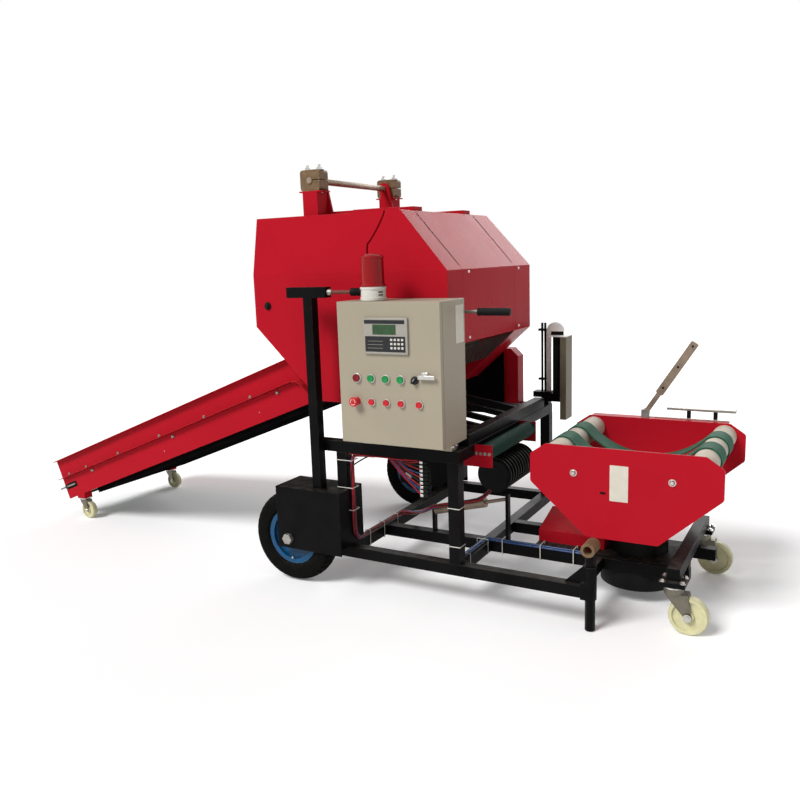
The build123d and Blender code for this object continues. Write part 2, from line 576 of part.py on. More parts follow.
for side in (-1, 1):
    lip_y = sorted((side * INSIDE_HALF, side * CONVEYOR_HALF))
    belly += block((BELLY_START, head_u(-BELLY_DROP) - 20), lip_y, (-BELLY_DROP, 0))
add("conveyor_belly", RUN * belly)


# Castors: a bolted plate, a fork that swivels under it and a wheel that turns in the fork
def castor(pivot_x, pivot_y, radius, height, trail, width, base):
    """Return the plate, fork and wheel of one castor that trails towards +X."""
    axle_x = pivot_x + trail
    plate_z = height - CASTOR_PLATE
    cheek_gap = width / 2 + 2
    cheek = 4.0
    crown_z = (2 * radius + 6, plate_z - SEAT)
    plate = block(span(pivot_x, base[0]), span(pivot_y, base[1]), (plate_z, height))
    race = rod((pivot_x, pivot_y, crown_z[0]), (pivot_x, pivot_y, crown_z[1]), 0.5 * radius)
    crown = block((pivot_x - 0.4 * radius, axle_x), span(pivot_y, 2 * (cheek_gap + cheek)),
                  (crown_z[0], crown_z[0] + cheek))
    ear = 0.2 * radius
    cheek_view = outline((pivot_x - 0.4 * radius, crown_z[0] + 1), (axle_x, crown_z[0] + 1),
                         (axle_x + ear, radius), (axle_x - ear, radius))
    cheek_view = cheek_view + Pos(axle_x, radius) * Circle(ear)
    pin_r = 0.1 * radius
    fork = race + crown
    for side in (-1, 1):
        inner = pivot_y + side * cheek_gap
        fork += across(cheek_view, sorted((inner, inner + side * cheek)))
    reach = cheek_gap + cheek + 3
    fork += rod((axle_x, pivot_y - reach, radius), (axle_x, pivot_y + reach, radius), pin_r)
    half = width / 2
    bore = pin_r + RUN_FIT
    hub_half = cheek_gap - SEAT
    web = 0.6 * half
    hub_r, web_r, rim_r, edge_r = 0.3 * radius, 0.75 * radius, 0.8 * radius, 0.94 * radius
    near_edge = [(bore, -hub_half), (hub_r, -hub_half), (hub_r, -web), (web_r, -web), (rim_r, -half),
                 (edge_r, -half), (radius, -web)]
    far_edge = [(r, -offset_y) for r, offset_y in reversed(near_edge)]
    return plate, fork, turned(outline(*near_edge, *far_edge), (axle_x, pivot_y, radius))


CASTORS = [
    ("tail_near", TAIL_CASTOR_X, CONVEYOR_MID_Y - TAIL_CASTOR_HALF_Y, TAIL_CASTOR_R, TAIL_CASTOR_HEIGHT,
     TAIL_CASTOR_TRAIL, TAIL_CASTOR_WIDTH, TAIL_CASTOR_BASE),
    ("tail_far", TAIL_CASTOR_X, CONVEYOR_MID_Y + TAIL_CASTOR_HALF_Y, TAIL_CASTOR_R, TAIL_CASTOR_HEIGHT,
     TAIL_CASTOR_TRAIL, TAIL_CASTOR_WIDTH, TAIL_CASTOR_BASE),
    ("wrap_near", WRAP_CASTOR_X, WRAP_CASTOR_Y[0], WRAP_CASTOR_R, WRAP_CASTOR_HEIGHT,
     WRAP_CASTOR_TRAIL, WRAP_CASTOR_WIDTH, WRAP_CASTOR_BASE),
    ("wrap_far", WRAP_CASTOR_X, WRAP_CASTOR_Y[1], WRAP_CASTOR_R, WRAP_CASTOR_HEIGHT,
     WRAP_CASTOR_TRAIL, WRAP_CASTOR_WIDTH, WRAP_CASTOR_BASE),
]
castor_plates = {}
for name, *sizes in CASTORS:
    castor_plates[name], fork, wheel = castor(*sizes)
    add(f"castor_fork_{name}", fork)
    add(f"castor_wheel_{name}", wheel)


# Wedge feet carry the tail castors' plates under the side plates
def under_side(x):
    """Level of the side plates' underside above a place on the ground."""
    return TAIL_Z + (x - TAIL_X) * sin(radians(SLOPE)) / cos(radians(SLOPE))


FOOT_X = span(TAIL_CASTOR_X, TAIL_CASTOR_BASE[0])
foot_view = outline((FOOT_X[0], TAIL_CASTOR_HEIGHT), (FOOT_X[1], TAIL_CASTOR_HEIGHT),
                    (FOOT_X[1], under_side(FOOT_X[1])), (FOOT_X[0], under_side(FOOT_X[0])))
FOOT_Y = [CONVEYOR_MID_Y + side * TAIL_CASTOR_HALF_Y for side in (-1, 1)]
tail_feet = [across(foot_view, span(y, TAIL_CASTOR_BASE[1])) for y in FOOT_Y]
add("tail_castor_mounts", tail_feet[0] + castor_plates["tail_near"], tail_feet[1] + castor_plates["tail_far"])

# Beam across the wrapper's rear end, on packing blocks, with the large castors' plates
END_BEAM_X = span(WRAP_CASTOR_X, TUBE)
END_BEAM_Z = (WRAP_CASTOR_HEIGHT + WRAP_PAD, WRAP_CASTOR_HEIGHT + WRAP_PAD + TUBE)
END_BEAM_Y = (WRAP_CASTOR_Y[0] - END_BEAM_OVERHANG, WRAP_CASTOR_Y[1] + END_BEAM_OVERHANG)
end_beam = block(END_BEAM_X, END_BEAM_Y, END_BEAM_Z)
end_beam += [block(END_BEAM_X, span(y, TUBE), (LOWER_Z[1], END_BEAM_Z[0])) for y in INNER_RAIL_Y]
end_beam += [block(span(WRAP_CASTOR_X, WRAP_CASTOR_BASE[0]), span(y, WRAP_CASTOR_BASE[1]),
                   (WRAP_CASTOR_HEIGHT, END_BEAM_Z[0])) for y in WRAP_CASTOR_Y]
add("end_beam", end_beam + castor_plates["wrap_near"] + castor_plates["wrap_far"])


# Wrapper: fixed drum base, then the turntable with its side plates, rollers and belts
RAIL_GAP_R = (INNER_RAIL_Y[1] - INNER_RAIL_Y[0] - TUBE) / 2 - PLATE
wrapper_base = rod((TABLE_X, TABLE_Y, LOWER_Z[1]), (TABLE_X, TABLE_Y, DRUM_BASE_TOP_Z), DRUM_BASE_R)
wrapper_base += block(BASE_PLATE_X, inset(INNER_RAIL_Y, -BASE_PLATE_LAP), (LOWER_Z[1], LOWER_Z[1] + PLATE))
wrapper_base += rod((TABLE_X, TABLE_Y, DRUM_PAN_Z), (TABLE_X, TABLE_Y, LOWER_Z[0]), DRUM_PAN_R)
wrapper_base += rod((TABLE_X, TABLE_Y, DRUM_PAN_Z), (TABLE_X, TABLE_Y, LOWER_Z[1]), RAIL_GAP_R)
add("wrapper_base", wrapper_base)
TABLE_NEAR_Y = TABLE_Y - TABLE_HALF_Y
TABLE_FAR_Y = TABLE_Y + TABLE_HALF_Y
PLATE_GAP_Y = (TABLE_NEAR_Y + PLATE, TABLE_FAR_Y - PLATE)
half_outline = [(TABLE_TOP_HALF, TABLE_TOP_Z), (TABLE_SIDE_HALF, TABLE_SHOULDER_Z),
                (TABLE_SIDE_HALF, TABLE_WAIST_Z), (TABLE_FOOT_HALF, TABLE_FOOT_Z)]
right_edge = [(TABLE_X + half, z) for half, z in half_outline]
left_edge = [(TABLE_X - half, z) for half, z in reversed(half_outline)]
table_view = outline(*right_edge, *left_edge)
table_view = fillet(table_view.vertices(), TABLE_CORNER)
CUTTER_LIP = 50.0
lip_x = span(TABLE_X, 2 * TABLE_TOP_HALF - TABLE_CORNER)
near_plate = across(table_view, (TABLE_NEAR_Y, PLATE_GAP_Y[0]))
far_plate = across(table_view, (PLATE_GAP_Y[1], TABLE_FAR_Y))
far_plate += block(lip_x, (TABLE_FAR_Y, TABLE_FAR_Y + CUTTER_LIP), (TABLE_TOP_Z - SHEET, TABLE_TOP_Z))
add("wrapper_plates", near_plate, far_plate)
table_floor = block(span(TABLE_X, 2 * TABLE_FOOT_HALF), PLATE_GAP_Y, (TABLE_FOOT_Z, TABLE_FOOT_Z + 2 * SHEET))
table_hub = rod((TABLE_X, TABLE_Y, DRUM_BASE_TOP_Z + SEAT), (TABLE_X, TABLE_Y, TABLE_FOOT_Z), TABLE_HUB_R)
add("wrapper_floor", table_floor + table_hub)
TABLE_ROLLER_X = (TABLE_X - TABLE_ROLLER_HALF, TABLE_X + TABLE_ROLLER_HALF)
add("wrapper_rollers",
    *[rod((x, PLATE_GAP_Y[0], TABLE_ROLLER_Z), (x, PLATE_GAP_Y[1], TABLE_ROLLER_Z), TABLE_ROLLER_R)
      for x in TABLE_ROLLER_X])


def belt_face(radius):
    """Side view inside a slack loop round both rollers, at a radius about them."""
    half = TABLE_ROLLER_HALF
    top, low = radians(TABLE_BELT_TOP_ANGLE), radians(TABLE_BELT_LOW_ANGLE)
    top_x, top_z = half - radius * sin(top), TABLE_ROLLER_Z + radius * cos(top)
    low_x, low_z = half + radius * sin(low), TABLE_ROLLER_Z - radius * cos(low)
    top_dip = (half / sin(top) - radius) * (1 - cos(top))
    low_dip = (half / sin(low) + radius) * (1 - cos(low))
    line = ThreePointArc((-low_x, low_z), (-half - radius, TABLE_ROLLER_Z), (-top_x, top_z))
    line += ThreePointArc((-top_x, top_z), (0, top_z - top_dip), (top_x, top_z))
    line += ThreePointArc((top_x, top_z), (half + radius, TABLE_ROLLER_Z), (low_x, low_z))
    line += ThreePointArc((low_x, low_z), (0, low_z - low_dip), (-low_x, low_z))
    return Pos(TABLE_X, 0) * make_face(line)


BELT_GAP = TABLE_ROLLER_R + SEAT
belt_view = belt_face(BELT_GAP + BELT_THICK) - belt_face(BELT_GAP)
TABLE_BELT_Y = [TABLE_Y + side * TABLE_BELT_HALF_Y for side in (-1, 1)]
add("wrapper_belts", *[across(belt_view, span(y, TABLE_BELT_WIDTH)) for y in TABLE_BELT_Y])

# Film cutter on the far plate: a bar on two pegs and a lever on its own bracket
CUTTER_X = TABLE_X - 56.0
CUTTER_Z = 722.0
CUTTER_PIN_R = 8.0
CUTTER_TIP = (CUTTER_X + 208.0, 1046.0)
CUTTER_WIDTH = 36.0
CUTTER_ROUND = 7.0
CUTTER_NECK = 22.0       # width of the lever's lower part
CUTTER_NECK_LENGTH = 105.0
CUTTER_THICK = 12.0
CUTTER_OFFSET = 17.0     # lever past the far plate
CUTTER_Y = TABLE_FAR_Y + CUTTER_OFFSET
BRACKET_THICK = 8.0
CUTTER_BAR_X = (CUTTER_X + 91.0, CUTTER_X + 382.0)
CUTTER_BAR_Z = (738.0, 746.0)
CUTTER_BAR_WIDTH = 20.0
CUTTER_SIDE_GAP = 6.0     # between lever and bar
PEG_X = (CUTTER_X + 185.0, CUTTER_X + 298.0)
bracket_y = (CUTTER_Y - CUTTER_THICK / 2 - SEAT - BRACKET_THICK, CUTTER_Y - CUTTER_THICK / 2 - SEAT)
bracket = block(span(CUTTER_X, CUTTER_WIDTH), bracket_y, (TABLE_TOP_Z, CUTTER_Z + CUTTER_PIN_R + PLATE))
pin_end = CUTTER_Y + CUTTER_THICK / 2 + PLATE
bracket += rod((CUTTER_X, bracket_y[0], CUTTER_Z), (CUTTER_X, pin_end, CUTTER_Z), CUTTER_PIN_R)
bar_y = CUTTER_Y + CUTTER_THICK / 2 + CUTTER_SIDE_GAP + CUTTER_BAR_WIDTH / 2
cutter_bar = block(CUTTER_BAR_X, span(bar_y, CUTTER_BAR_WIDTH), CUTTER_BAR_Z)
strip_x = (CUTTER_X + CUTTER_WIDTH, lip_x[1])
cutter_bar += block(strip_x, span(bar_y, CUTTER_BAR_WIDTH), (TABLE_TOP_Z, TABLE_TOP_Z + SHEET))
for x in PEG_X:
    cutter_bar += rod((x, bar_y, TABLE_TOP_Z), (x, bar_y, CUTTER_BAR_Z[0] + 1), CUTTER_PIN_R)
add("cutter_bar", cutter_bar, bracket)
reach = (CUTTER_TIP[0] - CUTTER_X, CUTTER_TIP[1] - CUTTER_Z)
arm_length = hypot(*reach)
blade_length = arm_length - CUTTER_NECK_LENGTH
arm_view = Pos(CUTTER_NECK_LENGTH / 2, 0) * Rectangle(blade_length, CUTTER_WIDTH)
arm_view = fillet(arm_view.vertices(), CUTTER_ROUND)
arm_view += Pos(-arm_length / 4, 0) * Rectangle(arm_length / 2, CUTTER_NECK)
arm_view += Pos(-arm_length / 2, 0) * Circle(CUTTER_WIDTH / 2)
arm_view -= Pos(-arm_length / 2, 0) * Circle(CUTTER_PIN_R + RUN_FIT)
arm_mid = Pos((CUTTER_X + CUTTER_TIP[0]) / 2, (CUTTER_Z + CUTTER_TIP[1]) / 2)
arm_place = arm_mid * Rot(0, 0, degrees(atan2(reach[1], reach[0])))
add("cutter_arm", across(arm_place * arm_view, span(CUTTER_Y, CUTTER_THICK)))


# Control box on the near top rail, with its door, instruments and beacon
DOOR_Y = (BOX_Y[0], BOX_Y[0] + DOOR_DEPTH)
CASE_Y = (DOOR_Y[1] + 2 * SEAT, BOX_Y[1])
BOX_FOOT_INSET = 45.0
FEET_X = inset(BOX_X, BOX_FOOT_INSET)
case = block(BOX_X, CASE_Y, BOX_Z)
case -= block(inset(BOX_X, BOX_WALL), (CASE_Y[0] - 1, CASE_Y[1] - BOX_WALL), inset(BOX_Z, BOX_WALL))
case += [block(span(x, TUBE), NEAR_Y, (TOP_Z[1], BOX_Z[0])) for x in FEET_X]
add("control_case", case)
door = block(BOX_X, DOOR_Y, BOX_Z)
door -= block(inset(BOX_X, BOX_WALL), (DOOR_Y[0] + BOX_WALL, DOOR_Y[1] + 1), inset(BOX_Z, BOX_WALL))
add("control_door", door)
METER_X = (539.0, 739.0)
METER_Z = (1079.0, 1225.0)
METER_PROUD = 12.0
meter = block(METER_X, (DOOR_Y[0] - METER_PROUD, DOOR_Y[0]), METER_Z)
BUTTON_ROWS = ((978.0, (493.0, 561.0, 630.0, 698.0, 762.0)), (881.0, (488.0, 561.0, 630.0, 698.0, 780.0)))
BUTTON_R = 15.0
BUTTON_PROUD = 18.0
STOP_R = 20.0
STOP_PROUD = 36.0
buttons = []
for z, columns in BUTTON_ROWS:
    for x in columns:
        buttons.append(rod((x, DOOR_Y[0] - BUTTON_PROUD, z), (x, DOOR_Y[0], z), BUTTON_R))
stop_x, stop_z = BUTTON_ROWS[1][1][0], BUTTON_ROWS[1][0]
stop_y = (DOOR_Y[0] - STOP_PROUD, DOOR_Y[0] - BUTTON_PROUD + 1)
buttons[5] += rod((stop_x, stop_y[0], stop_z), (stop_x, stop_y[1], stop_z), STOP_R)
LATCH_X = (790.0, 856.0)
LATCH_Z = (984.0, 1002.0)
latch = block(LATCH_X, (DOOR_Y[0] - BUTTON_PROUD, DOOR_Y[0]), LATCH_Z)
add("control_panel", meter, *buttons, latch)
BEACON_BASE_R = 54.0
BEACON_BASE_HEIGHT = 58.0
BEACON_R = 49.0
BEACON_HEIGHT = 133.0
BEACON_ROUND = 10.0
beacon_z = BOX_Z[1] + BEACON_BASE_HEIGHT
dome = rod((BEACON_X, BEACON_Y, beacon_z), (BEACON_X, BEACON_Y, beacon_z + BEACON_HEIGHT), BEACON_R)
dome = fillet(dome.edges().sort_by(Axis.Z)[-1], BEACON_ROUND)
add("beacon", rod((BEACON_X, BEACON_Y, BOX_Z[1]), (BEACON_X, BEACON_Y, beacon_z), BEACON_BASE_R) + dome)

# Push handle: a post on the near fender with a cross head, rod and grip
HEAD_X = (POST_X - HEAD_REACH[0], POST_X + HEAD_REACH[1])
GRIP_X = (POST_X + GRIP_REACH[0], POST_X + GRIP_REACH[1])
HEAD_Z = (POST_TOP_Z - POST, POST_TOP_Z)
HEAD_MID = HEAD_Z[0] + POST / 2
push = block(span(POST_X, POST), span(POST_Y, POST), (FENDER_Z[1], HEAD_Z[1]))
push += block(HEAD_X, span(POST_Y, POST), HEAD_Z)
push += rod((HEAD_X[1] - 1, POST_Y, HEAD_MID), (GRIP_X[1], POST_Y, HEAD_MID), HANDLE_ROD_R)
push += rod((GRIP_X[0], POST_Y, HEAD_MID), (GRIP_X[1], POST_Y, HEAD_MID), GRIP_R)
add("push_handle", push)

# Parking leg, which slides up in its sleeve, with the tow tube across its top
leg = rod((LEG_X, NEAR_RAIL_Y, LEG_FOOT_Z), (LEG_X, NEAR_RAIL_Y, TOW_TUBE_Z), LEG_R)
tow_y = span(NEAR_RAIL_Y, TOW_TUBE_LENGTH)
leg += rod((LEG_X, tow_y[0], TOW_TUBE_Z), (LEG_X, tow_y[1], TOW_TUBE_Z), TOW_TUBE_R)
leg -= rod((LEG_X, tow_y[0] - 1, TOW_TUBE_Z), (LEG_X, tow_y[1] + 1, TOW_TUBE_Z), TOW_BORE_R)
add("parking_leg", leg)

# Film stand on the far top rail: base, guide rods with two ties, a turning roller under the plate of a
# round-topped strap, and a folded film guide
FILM_OFFSET = 22.0      # stand in front of the far rail's middle
FILM_Y = FAR_RAIL_Y - FILM_OFFSET
FILM_BASE_X = (806.0, 898.0)
FILM_BASE_Z = (712.0, 742.0)
FILM_TOP_Z = 1100.0
FILM_ROD_X = (846.0, 862.5)
FILM_ROD_R = 6.0
FILM_TIE_Z = (806.0, 1064.0)
FILM_TIE = 11.0
FILM_TIE_REACH = 18.0
FILM_STRAP_X = (870.0, 895.0)
FILM_STRAP = 8.0
FILM_CAP_R = 47.0
FILM_CAP_Z = 1056.0
FILM_PLATE_Z = (1033.0, 1037.0)
FILM_ROLLER_X = 924.0
FILM_ROLLER_R = 20.0
FILM_GUIDE_X = (962.0, 994.0)
FILM_GUIDE_Y = (500.0, 600.0)
FILM_GUIDE_FOOT_Z = 606.0
FILM_ARM_Z = (690.0, 734.0)
FILM_ARM_WIDTH = 38.0
film_stand = block(span(REAR_LEG_X, TUBE - FILM_TIE), FAR_Y, (TOP_Z[1], FILM_BASE_Z[0]))
film_stand += block(FILM_BASE_X, span(FILM_Y, TUBE + FILM_TIE), FILM_BASE_Z)
film_rods = [(x, FILM_BASE_Z[1], FILM_TOP_Z) for x in FILM_ROD_X]
film_rods.append((FILM_ROLLER_X, FILM_ARM_Z[1], FILM_PLATE_Z[0]))
film_stand += [rod((x, FILM_Y, foot - 1), (x, FILM_Y, top), FILM_ROD_R) for x, foot, top in film_rods]
tie_x = (FILM_ROD_X[0] - FILM_TIE_REACH, FILM_STRAP_X[0])
film_stand += [block(tie_x, span(FILM_Y, 2 * FILM_TIE), span(z, FILM_TIE)) for z in FILM_TIE_Z]
film_stand += block((REAR_LEG_X, FILM_GUIDE_X[1] - SHEET), span(FILM_Y, FILM_ARM_WIDTH), FILM_ARM_Z)
add("film_stand", film_stand)
strap_view = outline((FILM_STRAP_X[0], FILM_BASE_Z[1]), (FILM_STRAP_X[1], FILM_BASE_Z[1]),
                     (FILM_STRAP_X[1], FILM_CAP_Z), (FILM_STRAP_X[0], FILM_CAP_Z))
cap_x = FILM_STRAP_X[0] + FILM_CAP_R
cap_half = Pos(cap_x, FILM_CAP_Z + FILM_CAP_R) * Rectangle(2 * FILM_CAP_R, 2 * FILM_CAP_R)
strap_view += cap_half & Pos(cap_x, FILM_CAP_Z) * Circle(FILM_CAP_R)
film_strap = across(strap_view, span(FILM_Y, FILM_STRAP))
film_strap += block((FILM_STRAP_X[1] - 1, FILM_GUIDE_X[1]), FILM_GUIDE_Y, FILM_PLATE_Z)
add("film_strap", film_strap)
roller_z = (FILM_ARM_Z[1] + SEAT, FILM_PLATE_Z[0] - SEAT)
film_roller = rod((FILM_ROLLER_X, FILM_Y, roller_z[0]), (FILM_ROLLER_X, FILM_Y, roller_z[1]), FILM_ROLLER_R)
film_roller -= rod((FILM_ROLLER_X, FILM_Y, roller_z[0] - 1), (FILM_ROLLER_X, FILM_Y, roller_z[1] + 1),
                   FILM_ROD_R + RUN_FIT)
add("film_roller", film_roller)
guide_z = (FILM_GUIDE_FOOT_Z, FILM_PLATE_Z[0])
guide = block(FILM_GUIDE_X, FILM_GUIDE_Y, guide_z)
guide -= block((FILM_GUIDE_X[0] - 1, FILM_GUIDE_X[1] - SHEET), inset(FILM_GUIDE_Y, SHEET), inset(guide_z, -1))
add("film_guide", guide)

# Drive under the ramp: transfer roller between hung plates, finned motor, chain cover, valves, cylinder
TRANSFER_X = 928.0
TRANSFER_Z = 632.0
TRANSFER_R = 36.0
TRANSFER_Y = (-400.0, 124.0)
HUNG_PLATE_X = (REAR_LEG[0], 966.0)
HUNG_PLATE_Z = (571.0, 668.0)
roller_ends = [(TRANSFER_X, y, TRANSFER_Z) for y in TRANSFER_Y]
add("transfer_roller", rod(*roller_ends, TRANSFER_R))
beam_view = Pos(REAR_LEG_X, TOP_RAIL_Z + TUBE / 2) * Rectangle(TUBE, TUBE)
hung_view = outline((HUNG_PLATE_X[0], HUNG_PLATE_Z[0]), (HUNG_PLATE_X[1], HUNG_PLATE_Z[0]),
                    (HUNG_PLATE_X[1], HUNG_PLATE_Z[1]), (HUNG_PLATE_X[0], HUNG_PLATE_Z[1])) - beam_view
hung_plates = [across(hung_view, (TRANSFER_Y[0] - PLATE, TRANSFER_Y[0])),
               across(hung_view, (TRANSFER_Y[1], TRANSFER_Y[1] + PLATE))]
MOTOR_X = 900.0
MOTOR_Z = 490.0
MOTOR_R = 80.0
MOTOR_CORE_R = 68.0
MOTOR_Y = (-240.0, 100.0)
MOTOR_FIN_PITCH = 30.0
MOTOR_FOOT_Y = (-180.0, 40.0)
motor = rod((MOTOR_X, MOTOR_Y[0], MOTOR_Z), (MOTOR_X, MOTOR_Y[1], MOTOR_Z), MOTOR_CORE_R)
fin_count = int((MOTOR_Y[1] - MOTOR_Y[0]) // MOTOR_FIN_PITCH)
for k in range(fin_count):
    fin_y = MOTOR_Y[0] + (k + 0.5) * MOTOR_FIN_PITCH
    motor += rod((MOTOR_X, fin_y - SHEET, MOTOR_Z), (MOTOR_X, fin_y + SHEET, MOTOR_Z), MOTOR_R)
motor += block(REAR_LEG, MOTOR_FOOT_Y, (MOTOR_Z, TOP_Z[0]))
add("motor", motor)
CHAIN_BOX_X = (640.0, 725.0)
CHAIN_BOX_Y = (525.0, 605.0)
CHAIN_BOX_TOP = 965.0
CHAIN_BOX_CUT = 40.0
chain_view = outline((CHAIN_BOX_X[0], TOP_Z[1]), (CHAIN_BOX_X[1], TOP_Z[1]),
                     (CHAIN_BOX_X[1], CHAIN_BOX_TOP - CHAIN_BOX_CUT),
                     (CHAIN_BOX_X[1] - CHAIN_BOX_CUT, CHAIN_BOX_TOP), (CHAIN_BOX_X[0], CHAIN_BOX_TOP))
drive_view = outline((DRIVE_COVER_Y[0], LOWER_Z[1] + PLATE), (DRIVE_COVER_Y[1], LOWER_Z[1] + PLATE),
                     (DRIVE_COVER_Y[1], DRIVE_COVER_Z[1]), (DRIVE_COVER_Y[0], DRIVE_COVER_Z[0]))
drive_length = DRIVE_COVER_X[1] - DRIVE_COVER_X[0]
drive_cover = Pos(DRIVE_COVER_X[0], 0, 0) * extrude(Plane.YZ * drive_view, amount=drive_length)
add("drive_guards", *hung_plates, across(chain_view, CHAIN_BOX_Y), drive_cover)

# Valve manifold hung from the near top rail: a spine with a row of valves
VALVE_X = (702.0, 738.0)
VALVE_DEPTH = 34.0
VALVE_COUNT = 9
VALVE_PITCH = 18.0
VALVE_HEIGHT = 13.0
VALVE_SPINE = 14.0
valve_low = TOP_Z[0] - VALVE_COUNT * VALVE_PITCH
valves = block(inset(VALVE_X, PLATE), span(NEAR_RAIL_Y, VALVE_SPINE), (valve_low, TOP_Z[0]))
for k in range(VALVE_COUNT):
    valve_z = valve_low + k * VALVE_PITCH
    valves += block(VALVE_X, span(NEAR_RAIL_Y, VALVE_DEPTH), (valve_z, valve_z + VALVE_HEIGHT))
add("valve_block", valves)

body_end = [foot + CYLINDER_BODY * (eye - foot) for foot, eye in zip(CYLINDER_FOOT, CYLINDER_EYE)]
cylinder_ends = [(x, CYLINDER_Y, z) for x, z in (CYLINDER_FOOT, body_end, CYLINDER_EYE)]
cylinder = rod(cylinder_ends[0], cylinder_ends[1], CYLINDER_R)
cylinder += rod(cylinder_ends[0], cylinder_ends[2], HANDLE_ROD_R)
cylinder_room = block((CYLINDER_FOOT[0], CYLINDER_EYE[0]), span(CYLINDER_Y, TUBE),
                      (LOWER_Z[1], CYLINDER_EYE[1] + TUBE))
add("transfer_cylinder", cylinder & cylinder_room)


# Wiring and air line, clipped to the frame all the way
def line(points, bend, radius):
    """Round line along straight runs joined by arcs of one bend radius."""
    path = FilletPolyline(*points, radius=bend)
    return sweep(Plane(origin=path @ 0, z_dir=path % 0) * Circle(radius), path=path)


WIRE_R = 9.0
WIRE_BEND = 45.0
HOSE_R = 6.0
HOSE_BEND = 40.0
wire_x = FRONT_LEG[1] + PLATE + WIRE_R + SEAT
wire_z = LOWER_Z[1] + WIRE_R + SEAT
hose_z = LOWER_Z[1] + HOSE_R + SEAT
hose_y = CYLINDER_Y - LUG_WIDTH / 2 - HOSE_R - SEAT
WIRE_DROP = 44.0       # below the cabinet before the wires turn to the leg
WIRE_TURN = 40.0
WIRE_END = (505.0, 572.0)       # along the inner rail: where the wires rise, and where they end
WIRE_RISE = 66.0
FAN_R = 3.5
FAN_START_X = 545.0
FAN_COUNT = 5
wire_top_x = FEET_X[0] + TUBE
wire_y = INNER_RAIL_Y[0] - WIRE_R
main_run = line([(wire_top_x, NEAR_RAIL_Y, TOP_Z[0]), (wire_top_x, NEAR_RAIL_Y, TOP_Z[0] - WIRE_DROP),
                 (wire_x, NEAR_RAIL_Y, TOP_Z[0] - WIRE_DROP - WIRE_TURN),
                 (wire_x, NEAR_RAIL_Y, wire_z + WIRE_TURN),
                 (wire_x, NEAR_Y[1] + TUBE, wire_z), (wire_x, wire_y, wire_z), (WIRE_END[0], wire_y, wire_z),
                 (WIRE_END[1], wire_y, wire_z + WIRE_RISE)], WIRE_BEND, WIRE_R)
fan = []
for k in range(FAN_COUNT):
    fan_z = valve_low + (2 * k + 0.5) * VALVE_PITCH
    start = (FAN_START_X + k * 3 * FAN_R, NEAR_RAIL_Y, TOP_Z[0])
    fan.append(rod(start, (VALVE_X[0], NEAR_RAIL_Y, fan_z), FAN_R))
rail_room = block((FAN_START_X - TUBE, VALVE_X[1]), NEAR_Y, TOP_Z)
valve_room = block(VALVE_X, NEAR_Y, (valve_low - TUBE, TOP_Z[0]))
add("wire_harness", main_run, *[wire - rail_room - valve_room for wire in fan])
add("air_hose", line([(REAR_LEG_X, NEAR_Y[1] + 30, hose_z), (REAR_LEG_X, hose_y, hose_z),
                      (END_TIE_X[0], hose_y, hose_z)], HOSE_BEND, HOSE_R))


os.makedirs("parts", exist_ok=True)
for name, shape in nodes.items():
    export_step(shape, f"parts/{name}.step")
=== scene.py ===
"""Looks of the towed silage baler: paint, rubber, fasteners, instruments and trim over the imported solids.

Metres, in the frame of the solids: +X from the feed conveyor to the wrapper, +Y away from the
operator's side, +Z up. Profiles of turned shapes hold (offset along the axis, radius) pairs.
"""
import json
from collections import namedtuple
from math import atan2, cos, hypot, pi, radians, sin

import bmesh
import bpy
from mathutils import Matrix, Vector


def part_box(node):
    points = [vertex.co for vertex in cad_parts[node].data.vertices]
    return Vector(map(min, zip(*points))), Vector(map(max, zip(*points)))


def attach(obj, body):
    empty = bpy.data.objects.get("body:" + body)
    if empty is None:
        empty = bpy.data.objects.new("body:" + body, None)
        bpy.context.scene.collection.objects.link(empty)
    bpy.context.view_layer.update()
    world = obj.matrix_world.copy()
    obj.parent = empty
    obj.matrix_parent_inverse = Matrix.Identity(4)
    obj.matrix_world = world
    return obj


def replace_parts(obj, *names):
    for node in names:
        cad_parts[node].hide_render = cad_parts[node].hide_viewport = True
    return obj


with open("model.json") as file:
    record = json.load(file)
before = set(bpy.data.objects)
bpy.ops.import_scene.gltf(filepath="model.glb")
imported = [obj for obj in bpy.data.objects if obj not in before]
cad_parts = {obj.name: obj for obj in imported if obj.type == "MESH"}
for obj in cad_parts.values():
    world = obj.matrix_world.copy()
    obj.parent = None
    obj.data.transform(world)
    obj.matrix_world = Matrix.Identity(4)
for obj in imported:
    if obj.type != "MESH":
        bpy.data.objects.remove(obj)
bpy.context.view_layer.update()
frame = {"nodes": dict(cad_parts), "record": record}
nodes = frame["nodes"]

# Camera solved from the photo
CAMERA_AT = (2.255, -3.45, 1.456)
CAMERA_RIGHT = (0.87239, 0.48763, -0.03317)
CAMERA_DOWN = (0.05634, -0.16773, -0.98417)
CAMERA_AHEAD = (-0.4855, 0.85676, -0.17382)
LENS_MM = 36.216
SENSOR_MM = 36.0

# Places and directions that several pieces share
WHEEL_X = 0.062
WHEEL_R = 0.212
WHEEL_Y = {"near": -0.585, "far": 0.625}
RUN_TAIL = Vector((-1.793, -0.02, 0.095))
RUN_SLOPE = radians(20.9)
RUN_HALF = 0.35
TABLE = Vector((1.505, -0.08, 0.0))
HINGE = Vector((0.09, 0.0, 1.812))
LEG_Y = -0.545  # near legs, top rail and valve block
UP = Vector((0, 0, 1))
DOWN = Vector((0, 0, -1))
NEAR = Vector((0, -1, 0))
FAR = Vector((0, 1, 0))
REAR = Vector((1, 0, 0))

